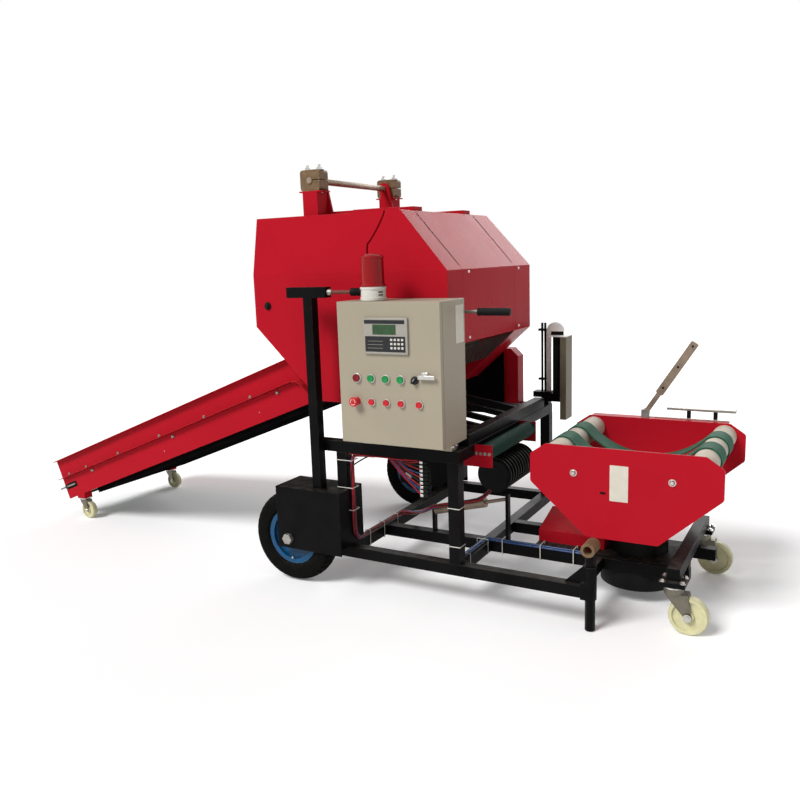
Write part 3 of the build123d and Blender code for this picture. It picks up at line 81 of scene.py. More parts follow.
# What the finishes have in common
NOISE_ROUGHNESS = 0.55
BLOTCH_SPAN = (0.3, 0.7)  # of the noise, for the uneven tone
BLOTCH_DETAIL = 5.0
ROUGH_SPREAD = 0.06
DUST_COLOUR = (0.36, 0.32, 0.27)
DUST_FACING = (0.2, 1.0)  # how far a face looks up
DUST_SPAN = (0.35, 0.65)
DUST_FINER = 3  # than the uneven tone
DUST_DETAIL = 6.0
DUST_DULLS = 0.5
# Edges are painted lighter: partly paint worn through, partly a painted highlight where an edge catches the
# light
WEAR_HIGHLIGHT_RADIUS = 0.004
WEAR_HIGHLIGHT_TURN = (0.98, 0.8)  # of the normal across an edge that is painted lighter, partly as wear and partly as a painted highlight
WEAR_HIGHLIGHT_SCALE = 34.0
WEAR_HIGHLIGHT_SPAN = (0.45, 0.62)
GRAIN_DEPTH = 0.0006
GRAIN_DETAIL = 2.0
COAT_ROUGHNESS = 0.12
PLASTIC_IOR = 1.49
RIPPLE = dict(mottle=0.04, mottle_scale=30.0, grain=0.1, grain_scale=120.0, gloss=0.2)
Finish = namedtuple("Finish", "colour roughness mottle mottle_scale grain grain_scale metallic dust wear "
                    "worn_colour coat gloss", defaults=(260.0, 0.0, 0.0, 0.0, None, 0.0, 0.5))


# Shader building
def link(tree, source, target):
    tree.links.new(source, target)


def fill(node, **inputs):
    """Shader node with its input sockets set by name."""
    for name, value in inputs.items():
        node.inputs[name.replace("_", " ")].default_value = value
    return node


def add_node(tree, kind, **inputs):
    return fill(tree.nodes.new("ShaderNode" + kind), **inputs)


def noise(tree, coords, scale, detail):
    node = add_node(tree, "TexNoise", Scale=scale, Detail=detail, Roughness=NOISE_ROUGHNESS)
    link(tree, coords, node.inputs["Vector"])
    return node.outputs["Fac"]


def ranged(tree, value, span, to_low=0.0, to_high=1.0):
    """Value mapped from a span to to_low..to_high."""
    node = add_node(tree, "MapRange", From_Min=span[0], From_Max=span[1], To_Min=to_low, To_Max=to_high)
    link(tree, value, node.inputs["Value"])
    return node.outputs["Result"]


def maths(tree, kind, a, b):
    node = add_node(tree, "Math")
    node.operation = kind
    for socket, value in zip(node.inputs, (a, b)):
        if isinstance(value, (int, float)):
            socket.default_value = value
        else:
            link(tree, value, socket)
    return node.outputs["Value"]


def mixed(tree, factor, a, b):
    """Colour a where the factor is 0 and b where it is 1."""
    node = add_node(tree, "Mix")
    node.data_type = "RGBA"
    link(tree, factor, node.inputs["Factor"])
    for socket, value in ((node.inputs[6], a), (node.inputs[7], b)):
        if isinstance(value, tuple):
            socket.default_value = (*value, 1.0)
        else:
            link(tree, value, socket)
    return node.outputs[2]


def shade(colour, amount):
    return tuple(min(1.0, channel * amount) for channel in colour)


def surface(name, look):
    """Finish with uneven tone, dust on top faces, lighter edges that are partly wear and partly a painted
    highlight, and a fine surface grain.
    """
    material = bpy.data.materials.new(name)
    material.use_nodes = True
    tree = material.node_tree
    shader = tree.nodes["Principled BSDF"]
    place = add_node(tree, "TexCoord").outputs["Object"]
    geometry = add_node(tree, "NewGeometry")
    blotch = noise(tree, place, look.mottle_scale, BLOTCH_DETAIL)
    tone = mixed(tree, ranged(tree, blotch, BLOTCH_SPAN), shade(look.colour, 1 - look.mottle),
                 shade(look.colour, 1 + look.mottle))
    rough = ranged(tree, blotch, BLOTCH_SPAN, look.roughness - ROUGH_SPREAD, look.roughness + ROUGH_SPREAD)
    if look.dust:
        up = add_node(tree, "SeparateXYZ")
        link(tree, geometry.outputs["Normal"], up.inputs["Vector"])
        patches = noise(tree, place, look.mottle_scale * DUST_FINER, DUST_DETAIL)
        settled = maths(tree, "MULTIPLY", ranged(tree, up.outputs["Z"], DUST_FACING),
                        ranged(tree, patches, DUST_SPAN, 0.0, look.dust))
        tone = mixed(tree, settled, tone, DUST_COLOUR)
        rough = maths(tree, "ADD", rough, maths(tree, "MULTIPLY", settled, DUST_DULLS))
    # Lighter edges: partly wear, partly a painted edge highlight
    if look.wear:
        rounded = add_node(tree, "Bevel", Radius=WEAR_HIGHLIGHT_RADIUS)
        rounded.samples = 4
        turn = add_node(tree, "VectorMath")
        turn.operation = "DOT_PRODUCT"
        link(tree, rounded.outputs["Normal"], turn.inputs[0])
        link(tree, geometry.outputs["Normal"], turn.inputs[1])
        edge = ranged(tree, turn.outputs["Value"], WEAR_HIGHLIGHT_TURN)
        patchy = ranged(tree, noise(tree, place, WEAR_HIGHLIGHT_SCALE, BLOTCH_DETAIL), WEAR_HIGHLIGHT_SPAN, 0.0, look.wear)
        tone = mixed(tree, maths(tree, "MULTIPLY", edge, patchy), tone, look.worn_colour)
    link(tree, tone, shader.inputs["Base Color"])
    link(tree, rough, shader.inputs["Roughness"])
    fill(shader, Metallic=look.metallic, Specular_IOR_Level=look.gloss, Coat_Weight=look.coat,
         Coat_Roughness=COAT_ROUGHNESS)
    if look.grain:
        bump = add_node(tree, "Bump", Strength=look.grain, Distance=GRAIN_DEPTH)
        link(tree, noise(tree, place, look.grain_scale, GRAIN_DETAIL), bump.inputs["Height"])
        link(tree, bump.outputs["Normal"], shader.inputs["Normal"])
    return material


def lens(name, colour, roughness, transmission, emission):
    """Clear coloured plastic with moulding ripple and a painted glow of its own colour."""
    material = surface(name, Finish(colour, roughness, **RIPPLE))
    fill(material.node_tree.nodes["Principled BSDF"], Transmission_Weight=transmission, IOR=PLASTIC_IOR,
         Emission_Color=(*colour, 1.0), Emission_Strength=emission)
    return material


FINISHES = {
    "red_paint": Finish((0.425, 0.0085, 0.0185), 0.27, 0.05, 2.2, 0.05, grain_scale=420.0, dust=0.1,
                        wear=0.35, worn_colour=(0.3, 0.12, 0.1), gloss=0.028),
    "black_paint": Finish((0.0046, 0.0042, 0.0046), 0.36, 0.35, 9.0, 0.12, grain_scale=320.0, dust=0.1,
                          wear=0.5, worn_colour=(0.07, 0.065, 0.06), gloss=0.05),
    "tyre_rubber": Finish((0.005, 0.0048, 0.0044), 0.7, 0.3, 22.0, 0.3, grain_scale=300.0, dust=0.05,
                          gloss=0.03),
    "blue_rim": Finish((0.002, 0.064, 0.16), 0.2, 0.14, 18.0, 0.06, wear=0.5,
                       worn_colour=(0.25, 0.3, 0.36), coat=0.1, gloss=0.22),
    "zinc": Finish((0.172, 0.158, 0.124), 0.42, 0.16, 40.0, 0.12, metallic=0.8, dust=0.1),
    "cream_nylon": Finish((0.61, 0.58, 0.35), 0.38, 0.1, 30.0, 0.12, dust=0.08, gloss=0.3),
    "green_belt": Finish((0.016, 0.088, 0.052), 0.6, 0.22, 16.0, 0.5, grain_scale=700.0, dust=0.05,
                         gloss=0.08),
    "cream_roller": Finish((0.52, 0.455, 0.37), 0.62, 0.18, 14.0, 0.3, dust=0.15, gloss=0.25),
    "beige_cabinet": Finish((0.352, 0.31, 0.232), 0.44, 0.04, 3.0, 0.2, grain_scale=520.0, dust=0.04,
                            gloss=0.25),
    "panel_plastic": Finish((0.014, 0.015, 0.017), 0.4, 0.2, 40.0, 0.2, gloss=0.3),
    "bare_steel": Finish((0.27, 0.205, 0.15), 0.42, 0.22, 24.0, 0.2, metallic=0.55, dust=0.1),
    "bronze_block": Finish((0.165, 0.105, 0.054), 0.55, 0.26, 36.0, 0.55, metallic=0.15, grain_scale=240.0,
                           dust=0.1, wear=0.6, worn_colour=(0.42, 0.32, 0.19), gloss=0.2),
    "dark_machine": Finish((0.006, 0.0068, 0.0064), 0.5, 0.3, 16.0, 0.4, dust=0.12, wear=0.5,
                           worn_colour=(0.08, 0.08, 0.07), gloss=0.08),
    "red_wire": Finish((0.3, 0.008, 0.014), 0.4, 0.25, 60.0, 0.1, gloss=0.3),
    "blue_hose": Finish((0.005, 0.04, 0.15), 0.3, 0.15, 40.0, 0.05, gloss=0.4),
    "dark_wire": Finish((0.01, 0.009, 0.011), 0.45, 0.25, 60.0, 0.1, gloss=0.3),
    "grip_rubber": Finish((0.007, 0.007, 0.007), 0.6, 0.25, 60.0, 0.5, gloss=0.1),
    "bright_steel": Finish((0.56, 0.55, 0.52), 0.3, 0.12, 60.0, 0.1, metallic=1.0),
    "dull_steel": Finish((0.3, 0.28, 0.25), 0.45, 0.16, 60.0, 0.15, metallic=0.9),
    "pale_zinc": Finish((0.37, 0.355, 0.325), 0.38, 0.14, 30.0, 0.12, metallic=0.8, dust=0.05),
    "white_plastic": Finish((0.6, 0.58, 0.52), 0.4, 0.06, 20.0, 0.08),
    "display": Finish((0.022, 0.068, 0.022), 0.16, 0.25, 30.0, 0.0, gloss=0.4),
    "meter_frame": Finish((0.33, 0.31, 0.27), 0.4, 0.06, 30.0, 0.1),
    "blank_plate": Finish((0.62, 0.58, 0.49), 0.42, 0.05, 30.0, 0.05),
    # Dark for slots, holes, seams and sleeves; on the slots and holes it is painted shade standing in for
    # openings
    "dark_gap": Finish((0.006, 0.005, 0.005), 0.8, 0.2, 7.0, 0.2, gloss=0.1),
    "olive_sheet": Finish((0.15, 0.132, 0.09), 0.5, 0.18, 10.0, 0.15, metallic=0.3, dust=0.1, gloss=0.2),
    "pale_grey": Finish((0.78, 0.78, 0.74), 0.42, 0.12, 14.0, 0.1, dust=0.05, gloss=0.3),
    "rusty_rod": Finish((0.15, 0.04, 0.03), 0.5, 0.3, 60.0, 0.3, gloss=0.2),
    "screen_wire": Finish((0.04, 0.044, 0.036), 0.5, 0.3, 40.0, 0.2, metallic=0.3, gloss=0.2),
    "dark_green": Finish((0.007, 0.034, 0.023), 0.55, 0.25, 16.0, 0.3, gloss=0.03),
    "matt_black": Finish((0.0048, 0.0044, 0.0046), 0.6, 0.3, 9.0, 0.12, grain_scale=320.0, gloss=0.0),
}
Lens = namedtuple("Lens", "colour roughness transmission emission", defaults=(0.0,))
LENSES = {
    "beacon_red": Lens((0.3, 0.002, 0.004), 0.22, 0.08),
    # The green and red caps and the stop button's skirt glow a little: a painted glow that brightens them
    "green_lens": Lens((0.01, 0.27, 0.07), 0.2, 0.15, 0.05),
    "red_lens": Lens((0.56, 0.018, 0.024), 0.22, 0.1, 0.04),
    "dark_red_lens": Lens((0.22, 0.006, 0.01), 0.2, 0.15),
}
looks = {name: surface(name, look) for name, look in FINISHES.items()}
looks |= {name: lens(name, *look) for name, look in LENSES.items()}

# Solids take the look of their slot, apart from these
NODE_LOOKS = {"film_strap": "pale_grey", "cutter_bar": "pale_zinc", "gate_handle": "pale_zinc",
              "film_guide": "olive_sheet", "conveyor_belly": "matt_black", "transfer_roller": "dark_green",
              "wheel_axles": "pale_zinc"}
slot_of = {row["node"]: row["material_slot"] for row in frame["record"]["subparts"]}

# Folded and cut edges catch the light on a small radius
EDGE_RADIUS = {"red_paint": 0.0016, "black_paint": 0.0022, "beige_cabinet": 0.0025, "zinc": 0.0008,
               "bare_steel": 0.0008, "bronze_block": 0.003, "dark_machine": 0.0015}
SHARP_ANGLE = radians(32)
EDGE_STEPS = 2
WELD_REACH = 0.00002


def round_edges(thing, radius):
    edge = thing.modifiers.new("edge", "BEVEL")
    edge.width = radius
    edge.segments = EDGE_STEPS
    edge.limit_method = "ANGLE"
    edge.angle_limit = SHARP_ANGLE
    return edge


for name, node in nodes.items():
    slot = slot_of[name]
    node.data.materials.clear()
    node.data.materials.append(looks[NODE_LOOKS.get(name, slot)])
    if slot in EDGE_RADIUS:
        node.modifiers.new("join", "WELD").merge_threshold = WELD_REACH
        round_edges(node, EDGE_RADIUS[slot]).harden_normals = True


# Mesh building
def add_object(name, data):
    made = bpy.data.objects.new(name, data)
    bpy.context.scene.collection.objects.link(made)
    return made


def facing(axis):
    """Rotation that turns +Z to the axis."""
    return Vector(axis).to_track_quat("Z", "Y").to_matrix().to_4x4()


class Piece:
    """Collects shapes into one mesh that rides on one body."""

    WASHER = 0.0022
    WASHER_SHARE = 0.95  # washer's radius to the width across flats
    CHAMFER_SHARE = 0.8  # of a head's height below its chamfer
    CHAMFER_TOP = 0.82

    def __init__(self, name, body, look, slot=None):
        self.name = name
        self.body = body
        self.look = look
        self.slot = slot
        self.mesh = bmesh.new()

    def box(self, low, high, turn=Matrix.Identity(4)):
        low, high = Vector(low), Vector(high)
        place = turn @ Matrix.Translation((low + high) / 2) @ Matrix.Diagonal((*(high - low), 1.0))
        bmesh.ops.create_cube(self.mesh, size=1.0, matrix=place)

    def rod(self, start, end, radius, segments, end_radius=None):
        start, end = Vector(start), Vector(end)
        place = Matrix.Translation((start + end) / 2) @ facing(end - start)
        bmesh.ops.create_cone(self.mesh, cap_ends=True, segments=segments, radius1=radius,
                              radius2=radius if end_radius is None else end_radius,
                              depth=(end - start).length, matrix=place)

    def turned(self, centre, axis, profile, segments):
        """Closed solid of revolution; the profile runs from axis to axis."""
        place = Matrix.Translation(Vector(centre)) @ facing(axis)
        rings = []
        for offset, radius in profile:
            ring = []
            for k in range(segments if radius > 0 else 1):
                angle = 2 * pi * k / segments
                point = Vector((radius * cos(angle), radius * sin(angle), offset))
                ring.append(self.mesh.verts.new(place @ point))
            rings.append(ring)
        self.skin(rings, segments)

    def skin(self, rings, segments):
        """Faces between rings of points; a ring may be a single point."""
        for low, high in zip(rings, rings[1:]):
            for k in range(segments):
                after = k + 1
                corners = [low[k % len(low)], low[after % len(low)],
                           high[after % len(high)], high[k % len(high)]]
                corners = list(dict.fromkeys(corners))
                if len(corners) > 2:
                    self.mesh.faces.new(corners)

    def bolt(self, at, axis, flats, height):
        """Hexagon head with a chamfered top on a round washer."""
        at, axis = Vector(at), Vector(axis).normalized()
        across = flats / 2 / cos(pi / 6)
        chamfer = at + axis * height * self.CHAMFER_SHARE
        self.rod(at, at + axis * self.WASHER, flats * self.WASHER_SHARE, 20)
        self.rod(at + axis * self.WASHER, chamfer, across, 6)
        self.rod(chamfer, at + axis * height, across, 6, across * self.CHAMFER_TOP)

    def rivet(self, at, axis, radius):
        """Low domed head."""
        dome = [(0, 0), (0, 1), (0.35, 0.85), (0.6, 0.45), (0.68, 0)]
        self.turned(at, axis, [(radius * offset, radius * share) for offset, share in dome], 12)

    def done(self, edge_radius=0.0):
        bmesh.ops.recalc_face_normals(self.mesh, faces=self.mesh.faces)
        data = bpy.data.meshes.new(self.name)
        self.mesh.to_mesh(data)
        self.mesh.free()
        for face in data.polygons:
            face.use_smooth = True
        data.set_sharp_from_angle(angle=SHARP_ANGLE)
        data.materials.append(looks[self.look])
        made = add_object(self.name, data)
        if edge_radius:
            round_edges(made, edge_radius)
        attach(made, self.body)
        return made


def on_slope(u, y, w):
    """Point on the conveyor: u up the slope, y across it, w square to it."""
    along = Vector((cos(RUN_SLOPE), 0, sin(RUN_SLOPE)))
    square = Vector((-sin(RUN_SLOPE), 0, cos(RUN_SLOPE)))
    return RUN_TAIL + along * u + square * w + Vector((0, y, 0))


SLOPE_TURN = Matrix.Translation(RUN_TAIL) @ Matrix.Rotation(-RUN_SLOPE, 4, "Y")

# Road tyres with a block tread
TYRE_PITCHES = 40
TYRE_STEPS = 8  # to a pitch
TREAD_DEPTH = 0.006
TREAD_HALF = 0.0435
TREAD_POINTS = 19
CROWN_GAP = 0.0005  # inside the solid tyre
CROWN_DROP = 0.0135  # from the middle of the tread to its shoulder
CROWN_POWER = 2.4
GROOVE_START = 0.009
GROOVE_SLANT = 9.0  # pitches to a metre of width
GROOVE_SHARE = 0.26
CHANNEL = (0.011, 0.0165)
SIDEWALL = (  # radius, offset
    (0.113, 0.033), (0.13, 0.0345), (0.133, 0.04), (0.136, 0.04), (0.139, 0.044), (0.15, 0.048),
    (0.163, 0.0495), (0.166, 0.0487), (0.169, 0.0495), (0.183, 0.0478), (0.196, 0.045))
RIM_BOLTS = 5
RIM_BOLT_R = 0.066
RIM_BOLT_TURN = 0.3
RIM_DISC_Y = -0.0085
STEM_OUT = 0.03
STEM_DROP = 0.105
STEM_LENGTH = 0.02
STEM_RISE = 0.006
STEM_R = 0.0042


def tyre(side):
    """Barrow tyre: moulded sidewall rings and staggered tread blocks."""
    piece = Piece(f"road_tyre_{side}", f"wheel_{side}", "tyre_rubber", "tyre_rubber")
    tread = []
    for k in range(TREAD_POINTS):
        y = TREAD_HALF * (1 - 2 * k / (TREAD_POINTS - 1))
        tread.append((WHEEL_R - CROWN_GAP - CROWN_DROP * abs(y / TREAD_HALF) ** CROWN_POWER, y))
    profile = [*SIDEWALL, *tread, *((radius, -y) for radius, y in reversed(SIDEWALL))]
    steps = TYRE_PITCHES * TYRE_STEPS
    rings = []
    for i in range(steps):
        angle = 2 * pi * i / steps
        ring = []
        for k, (radius, y) in enumerate(profile):
            if 0 <= k - len(SIDEWALL) < TREAD_POINTS:
                stagger = 0.5 if y > 0 else 0.0
                phase = (i / TYRE_STEPS + stagger + abs(y) * GROOVE_SLANT) % 1.0
                groove = abs(y) > GROOVE_START and phase < GROOVE_SHARE
                if groove or CHANNEL[0] < abs(y) < CHANNEL[1]:
                    radius -= TREAD_DEPTH
            at = (WHEEL_X + radius * cos(angle), WHEEL_Y[side] + y, WHEEL_R + radius * sin(angle))
            ring.append(piece.mesh.verts.new(at))
        rings.append(ring)
    for i in range(steps):
        ahead = rings[(i + 1) % steps]
        for k in range(len(profile)):
            after = (k + 1) % len(profile)
            piece.mesh.faces.new((rings[i][k], rings[i][after], ahead[after], ahead[k]))
    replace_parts(piece.done(), f"tyre_{side}")


def rim_fittings(side):
    """Wheel bolts and valve stem of a rim."""
    outward = -1 if side == "near" else 1
    bolts = Piece(f"rim_bolts_{side}", f"wheel_{side}", "bright_steel", "zinc")
    for k in range(RIM_BOLTS):
        angle = 2 * pi * k / RIM_BOLTS + RIM_BOLT_TURN
        at = (WHEEL_X + RIM_BOLT_R * cos(angle), WHEEL_Y[side] + RIM_DISC_Y,
              WHEEL_R + RIM_BOLT_R * sin(angle))
        bolts.bolt(at, NEAR, 0.015, 0.01)
    at = Vector((WHEEL_X, WHEEL_Y[side] + outward * STEM_OUT, WHEEL_R - STEM_DROP))
    bolts.rod(at, at + Vector((0, outward * STEM_LENGTH, STEM_RISE)), STEM_R, 12)
    bolts.done()


for side in WHEEL_Y:
    tyre(side)
    rim_fittings(side)

# Handles
GRIP_R = 0.015
GRIP_RIBS = 11
RIBS_START = 0.014
RIBS_SPARE = 0.026  # length of a grip that has no ribs
POST_Y = -0.5925
HEAD_Z = 1.3225
HEAD_END_X = 0.301
PUSH_GRIP_X = (0.421, 0.479)
PUSH_ROD_END_X = 0.4205
PUSH_ROD_R = 0.0084
FERRULE = ((0, 0), (0, 0.0135), (0.012, 0.0135), (0.016, 0.011), (0.022, 0.011), (0.022, 0))
GATE_GRIP_X = (0.924, 1.06)
GATE_GRIP_YZ = (-0.43, 1.23)


def grip(name, body, start, end):
    """Moulded rubber sleeve with ribs and a flared end."""
    piece = Piece(name, body, "grip_rubber")
    length = (Vector(end) - Vector(start)).length
    profile = [(0, 0), (0, GRIP_R * 1.12), (0.006, GRIP_R * 1.16), (0.01, GRIP_R * 1.03)]
    rib = (length - RIBS_SPARE) / GRIP_RIBS
    for k in range(GRIP_RIBS):
        at = RIBS_START + (length - RIBS_SPARE) * k / GRIP_RIBS
        profile += [(at, GRIP_R * 1.02), (at + rib * 0.25, GRIP_R * 1.07), (at + rib * 0.65, GRIP_R * 1.07),
                    (at + rib * 0.9, GRIP_R * 1.02)]
    profile += [(length - 0.008, GRIP_R * 1.06), (length, GRIP_R * 1.03), (length + 0.0016, GRIP_R * 0.85),
                (length + 0.0018, 0)]
    piece.turned(start, Vector(end) - Vector(start), profile, 28)
    piece.done()


def push_rod():
    """Bare rod and bright ferrule between the push handle's head and its grip."""
    head_end = (HEAD_END_X, POST_Y, HEAD_Z)
    rod = Piece("push_rod", "chassis", "rusty_rod", "bare_steel")
    rod.rod(head_end, (PUSH_ROD_END_X, POST_Y, HEAD_Z), PUSH_ROD_R, 24)
    rod.done()
    ferrule = Piece("push_ferrule", "chassis", "dull_steel", "zinc")
    ferrule.turned(head_end, REAR, FERRULE, 24)
    ferrule.done(0.0006)


grip("push_grip", "chassis", *((x, POST_Y, HEAD_Z) for x in PUSH_GRIP_X))
grip("gate_grip", "gate", *((x, *GATE_GRIP_YZ) for x in GATE_GRIP_X))
push_rod()

# Beacon: white base with vent slots under a ribbed red lens
BEACON_FOOT = ((0, 0), (0, 0.05), (0.004, 0.0535), (0.014, 0.0535), (0.016, 0.0515), (0.046, 0.0505),
               (0.048, 0.0535), (0.056, 0.0535), (0.058, 0.049), (0.058, 0))
BEACON_LENS = ((0.058, 0.0515), (0.066, 0.0515), (0.07, 0.047), (0.168, 0.0455), (0.172, 0.0475),
               (0.178, 0.0465), (0.185, 0.038), (0.189, 0.024), (0.191, 0.0))
LENS_STEPS = 72
LENS_RIB_STEPS = 3
LENS_RIB_DEPTH = 0.0012
LENS_RIBS_Z = (0.068, 0.17)
SLOT_ANGLES = (-0.42, -2.7)
SLOT_HEIGHTS = (0.024, 0.036)
SLOT_R = 0.05


def beacon():
    low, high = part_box("beacon")
    centre = Vector(((low.x + high.x) / 2, (low.y + high.y) / 2, low.z))
    base = Piece("beacon_foot", "chassis", "white_plastic")
    base.turned(centre, UP, BEACON_FOOT, 48)
    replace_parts(base.done(), "beacon")
    # The vent slots are dark boxes on the base: painted shade standing in for the openings
    slots = Piece("beacon_slots", "chassis", "dark_gap")
    for angle in SLOT_ANGLES:
        for z in SLOT_HEIGHTS:
            out = Vector((cos(angle), sin(angle), 0))
            turn = Matrix.Translation(centre + out * SLOT_R + Vector((0, 0, z))) @ facing(out)
            slots.box((-0.01, -0.0026, -0.002), (0.01, 0.0026, 0.0012), turn)
    slots.done()
    glass = Piece("beacon_lens", "chassis", "beacon_red", "beacon_red")
    rings = []
    for offset, radius in BEACON_LENS:
        ring = []
        for k in range(LENS_STEPS if radius else 1):
            angle = 2 * pi * k / LENS_STEPS
            rib = k % LENS_RIB_STEPS == 0 and LENS_RIBS_Z[0] < offset < LENS_RIBS_Z[1]
            ribbed = radius - (LENS_RIB_DEPTH if rib else 0.0)
            point = Vector((ribbed * cos(angle), ribbed * sin(angle), offset))
            ring.append(glass.mesh.verts.new(centre + point))
        rings.append(ring)
    glass.skin(rings, LENS_STEPS)
    glass.mesh.faces.new(list(reversed(rings[0])))
    glass.done()


beacon()

# Control door: instrument, buttons, selector and latch
DOOR = "control_door"
DOOR_Y = -0.69
METER_X = (0.539, 0.739)
METER_Z = (1.079, 1.225)
METER_PROUD = 0.01
METER_SEAT = 0.009  # fields and display start inside the frame
KEY_COLUMNS = 4
KEY_ROWS = 3
KEY_PITCH = 0.0165
FIELD_LINES = 3
LINE_PITCH = 0.014
UPPER_ROW_Z = 0.978
LOWER_ROW_Z = 0.881
UPPER_ROW_X = (0.493, 0.561, 0.63, 0.698)
UPPER_ROW_R = (0.0165, 0.015, 0.015, 0.015)
UPPER_ROW_CAPS = ("dark_red_lens", "green_lens", "green_lens", "green_lens")
LOWER_ROW_X = (0.561, 0.63, 0.698, 0.78)
LOWER_ROW_R = 0.0135
CAP_PROUD = 0.014
SELECTOR_X = 0.762
SELECTOR_TURN = radians(40)
SELECTOR = ((0, 0), (0, 0.017), (0.006, 0.0165), (0.008, 0.014), (0.014, 0.013), (0.014, 0))
STOP_X = 0.488
STOP_HEAD = ((0, 0), (0, 0.017), (0.012, 0.0155), (0.014, 0.0125), (0.02, 0.0125), (0.022, 0.019),
             (0.028, 0.0205), (0.033, 0.0195), (0.0352, 0.015), (0.0352, 0))
ARROWS = 3
ARROW_STEPS = 6
ARROW_R = 0.0115
ARROW_PROUD = 0.0353
LATCH_PIVOT = (0.806, 0.994)


def meter():
    """Weighing indicator: frame, dark header strip, display, keypad field and keys."""
    x0, x1 = METER_X
    z0, z1 = METER_Z
    y = DOOR_Y
    frame_piece = Piece("meter_frame", DOOR, "meter_frame")
    frame_piece.box((x0, y - METER_PROUD, z0), (x1, y, z1))
    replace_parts(frame_piece.done(0.002), "control_panel")
    dark = Piece("meter_fields", DOOR, "panel_plastic", "panel_plastic")
    dark.box((x0 + 0.004, y - 0.0112, z1 - 0.024), (x1 - 0.012, y - METER_SEAT, z1 - 0.009))
    dark.box((x0 + 0.006, y - 0.0112, z0 + 0.01), (x1 - 0.01, y - METER_SEAT, z0 + 0.072))
    dark.done(0.0006)
    glass = Piece("meter_display", DOOR, "display")
    glass.box((x0 + 0.042, y - 0.0115, z0 + 0.079), (x1 - 0.052, y - METER_SEAT, z0 + 0.119))
    glass.done(0.0005)
    keys = Piece("meter_keys", DOOR, "white_plastic")
    for column in range(KEY_COLUMNS):
        for row in range(KEY_ROWS):
            at = Vector((x1 - 0.072 + column * KEY_PITCH, y - 0.011, z0 + 0.026 + row * KEY_PITCH))
            keys.box(at + Vector((-0.0052, -0.0022, -0.0045)), at + Vector((0.0052, 0.001, 0.0045)))
    keys.done(0.0012)
    marks = Piece("meter_lines", DOOR, "meter_frame")
    for row in range(FIELD_LINES):
        z = z0 + 0.024 + row * LINE_PITCH
        marks.box((x0 + 0.018, y - 0.0116, z), (x0 + 0.088, y - 0.011, z + 0.0012))
    marks.done()


def push_button(name, x, z, look, radius):
    """Round button in a collar."""
    at = (x, DOOR_Y, z)
    ring = Piece(f"{name}_collar", DOOR, "bright_steel")
    collar = [(0, 0), (0, radius * 1.25), (0.005, radius * 1.22), (0.007, radius * 1.08), (0.007, 0)]
    ring.turned(at, NEAR, collar, 28)
    ring.done()
    cap = Piece(f"{name}_cap", DOOR, look)
    dished = [(0.005, 0), (0.005, radius), (CAP_PROUD - 0.003, radius), (CAP_PROUD, radius * 0.86),
              (CAP_PROUD - 0.0012, radius * 0.72), (CAP_PROUD - 0.0016, 0)]
    cap.turned(at, NEAR, dished, 28)
    cap.done()


def selector():
    """Rotary switch with a lever and a pointer line."""
    body = Piece("selector_body", DOOR, "panel_plastic", "panel_plastic")
    body.turned((SELECTOR_X, DOOR_Y, UPPER_ROW_Z), NEAR, SELECTOR, 28)
    top = (SELECTOR_X, DOOR_Y - SELECTOR[-1][0], UPPER_ROW_Z)
    turn = Matrix.Translation(top) @ Matrix.Rotation(SELECTOR_TURN, 4, "Y")
    body.box((-0.0045, -0.008, -0.0125), (0.0045, 0.001, 0.0125), turn)
    body.done(0.001)
    pointer = Piece("selector_mark", DOOR, "white_plastic")
    pointer.box((-0.0012, -0.0086, 0), (0.0012, -0.0076, 0.0115), turn)
    pointer.done()


def stop_button():
    """Mushroom head with a broken pale ring."""
    at = Vector((STOP_X, DOOR_Y, LOWER_ROW_Z))
    skirt = Piece("stop_skirt", DOOR, "red_lens")
    skirt.turned(at, NEAR, STOP_HEAD, 36)
    skirt.done()
    ring = Piece("stop_ring", DOOR, "white_plastic")
    for k in range(ARROWS):
        for step in range(ARROW_STEPS):
            angle = 2 * pi * (k + step / 8) / ARROWS
            dot = at + Vector((ARROW_R * cos(angle), -ARROW_PROUD, ARROW_R * sin(angle)))
            ring.box(dot - Vector((0.0015, 0.0002, 0.0015)), dot + Vector((0.0015, 0.0004, 0.0015)))
    ring.done()


def latch():
    """Base, pivot and lever of the door's latch."""
    x, z = LATCH_PIVOT
    piece = Piece("door_latch", DOOR, "bright_steel", "zinc")
    piece.box((0.792, DOOR_Y - 0.006, 0.982), (0.822, DOOR_Y, 1.012))
    piece.rod((x, DOOR_Y - 0.006, z), (x, DOOR_Y - 0.014, z), 0.008, 20)
    piece.box((0.782, DOOR_Y - 0.019, 0.985), (0.856, DOOR_Y - 0.012, 1.002))
    piece.done(0.002)


meter()
for k, (x, look, radius) in enumerate(zip(UPPER_ROW_X, UPPER_ROW_CAPS, UPPER_ROW_R)):
    push_button(f"upper_button_{k}", x, UPPER_ROW_Z, look, radius)
for k, x in enumerate(LOWER_ROW_X):
    push_button(f"lower_button_{k}", x, LOWER_ROW_Z, "red_lens", LOWER_ROW_R)
selector()
stop_button()
latch()

# Cabinet
PIN_AT = (0.4045, -0.667)
PIN_R = 0.0045
PIN_HALF = 0.028
PIN_HEIGHTS = (0.8, 1.19)
FOOT_X = (0.452, 0.833)
FOOT_Y = (-0.56, -0.53)
FOOT_HALF = 0.025
FOOT_BOLT_Z = 0.69
BOARD_Y = -0.474  # face of the mounting board
GEAR_X = 0.455
GEAR_WIDTH = 0.375
GEAR_FILL = 0.32  # of that width, without the gaps
GEAR_LIP = 0.004
GearRow = namedtuple("GearRow", "z count height")
GEAR_ROWS = (GearRow(1.16, 5, 0.075), GearRow(1.01, 6, 0.085), GearRow(0.86, 7, 0.06))
TERMINALS = 24
TERMINAL_X = 0.452
TERMINAL_PITCH = 0.0155
TERMINAL_WIDTH = 0.013


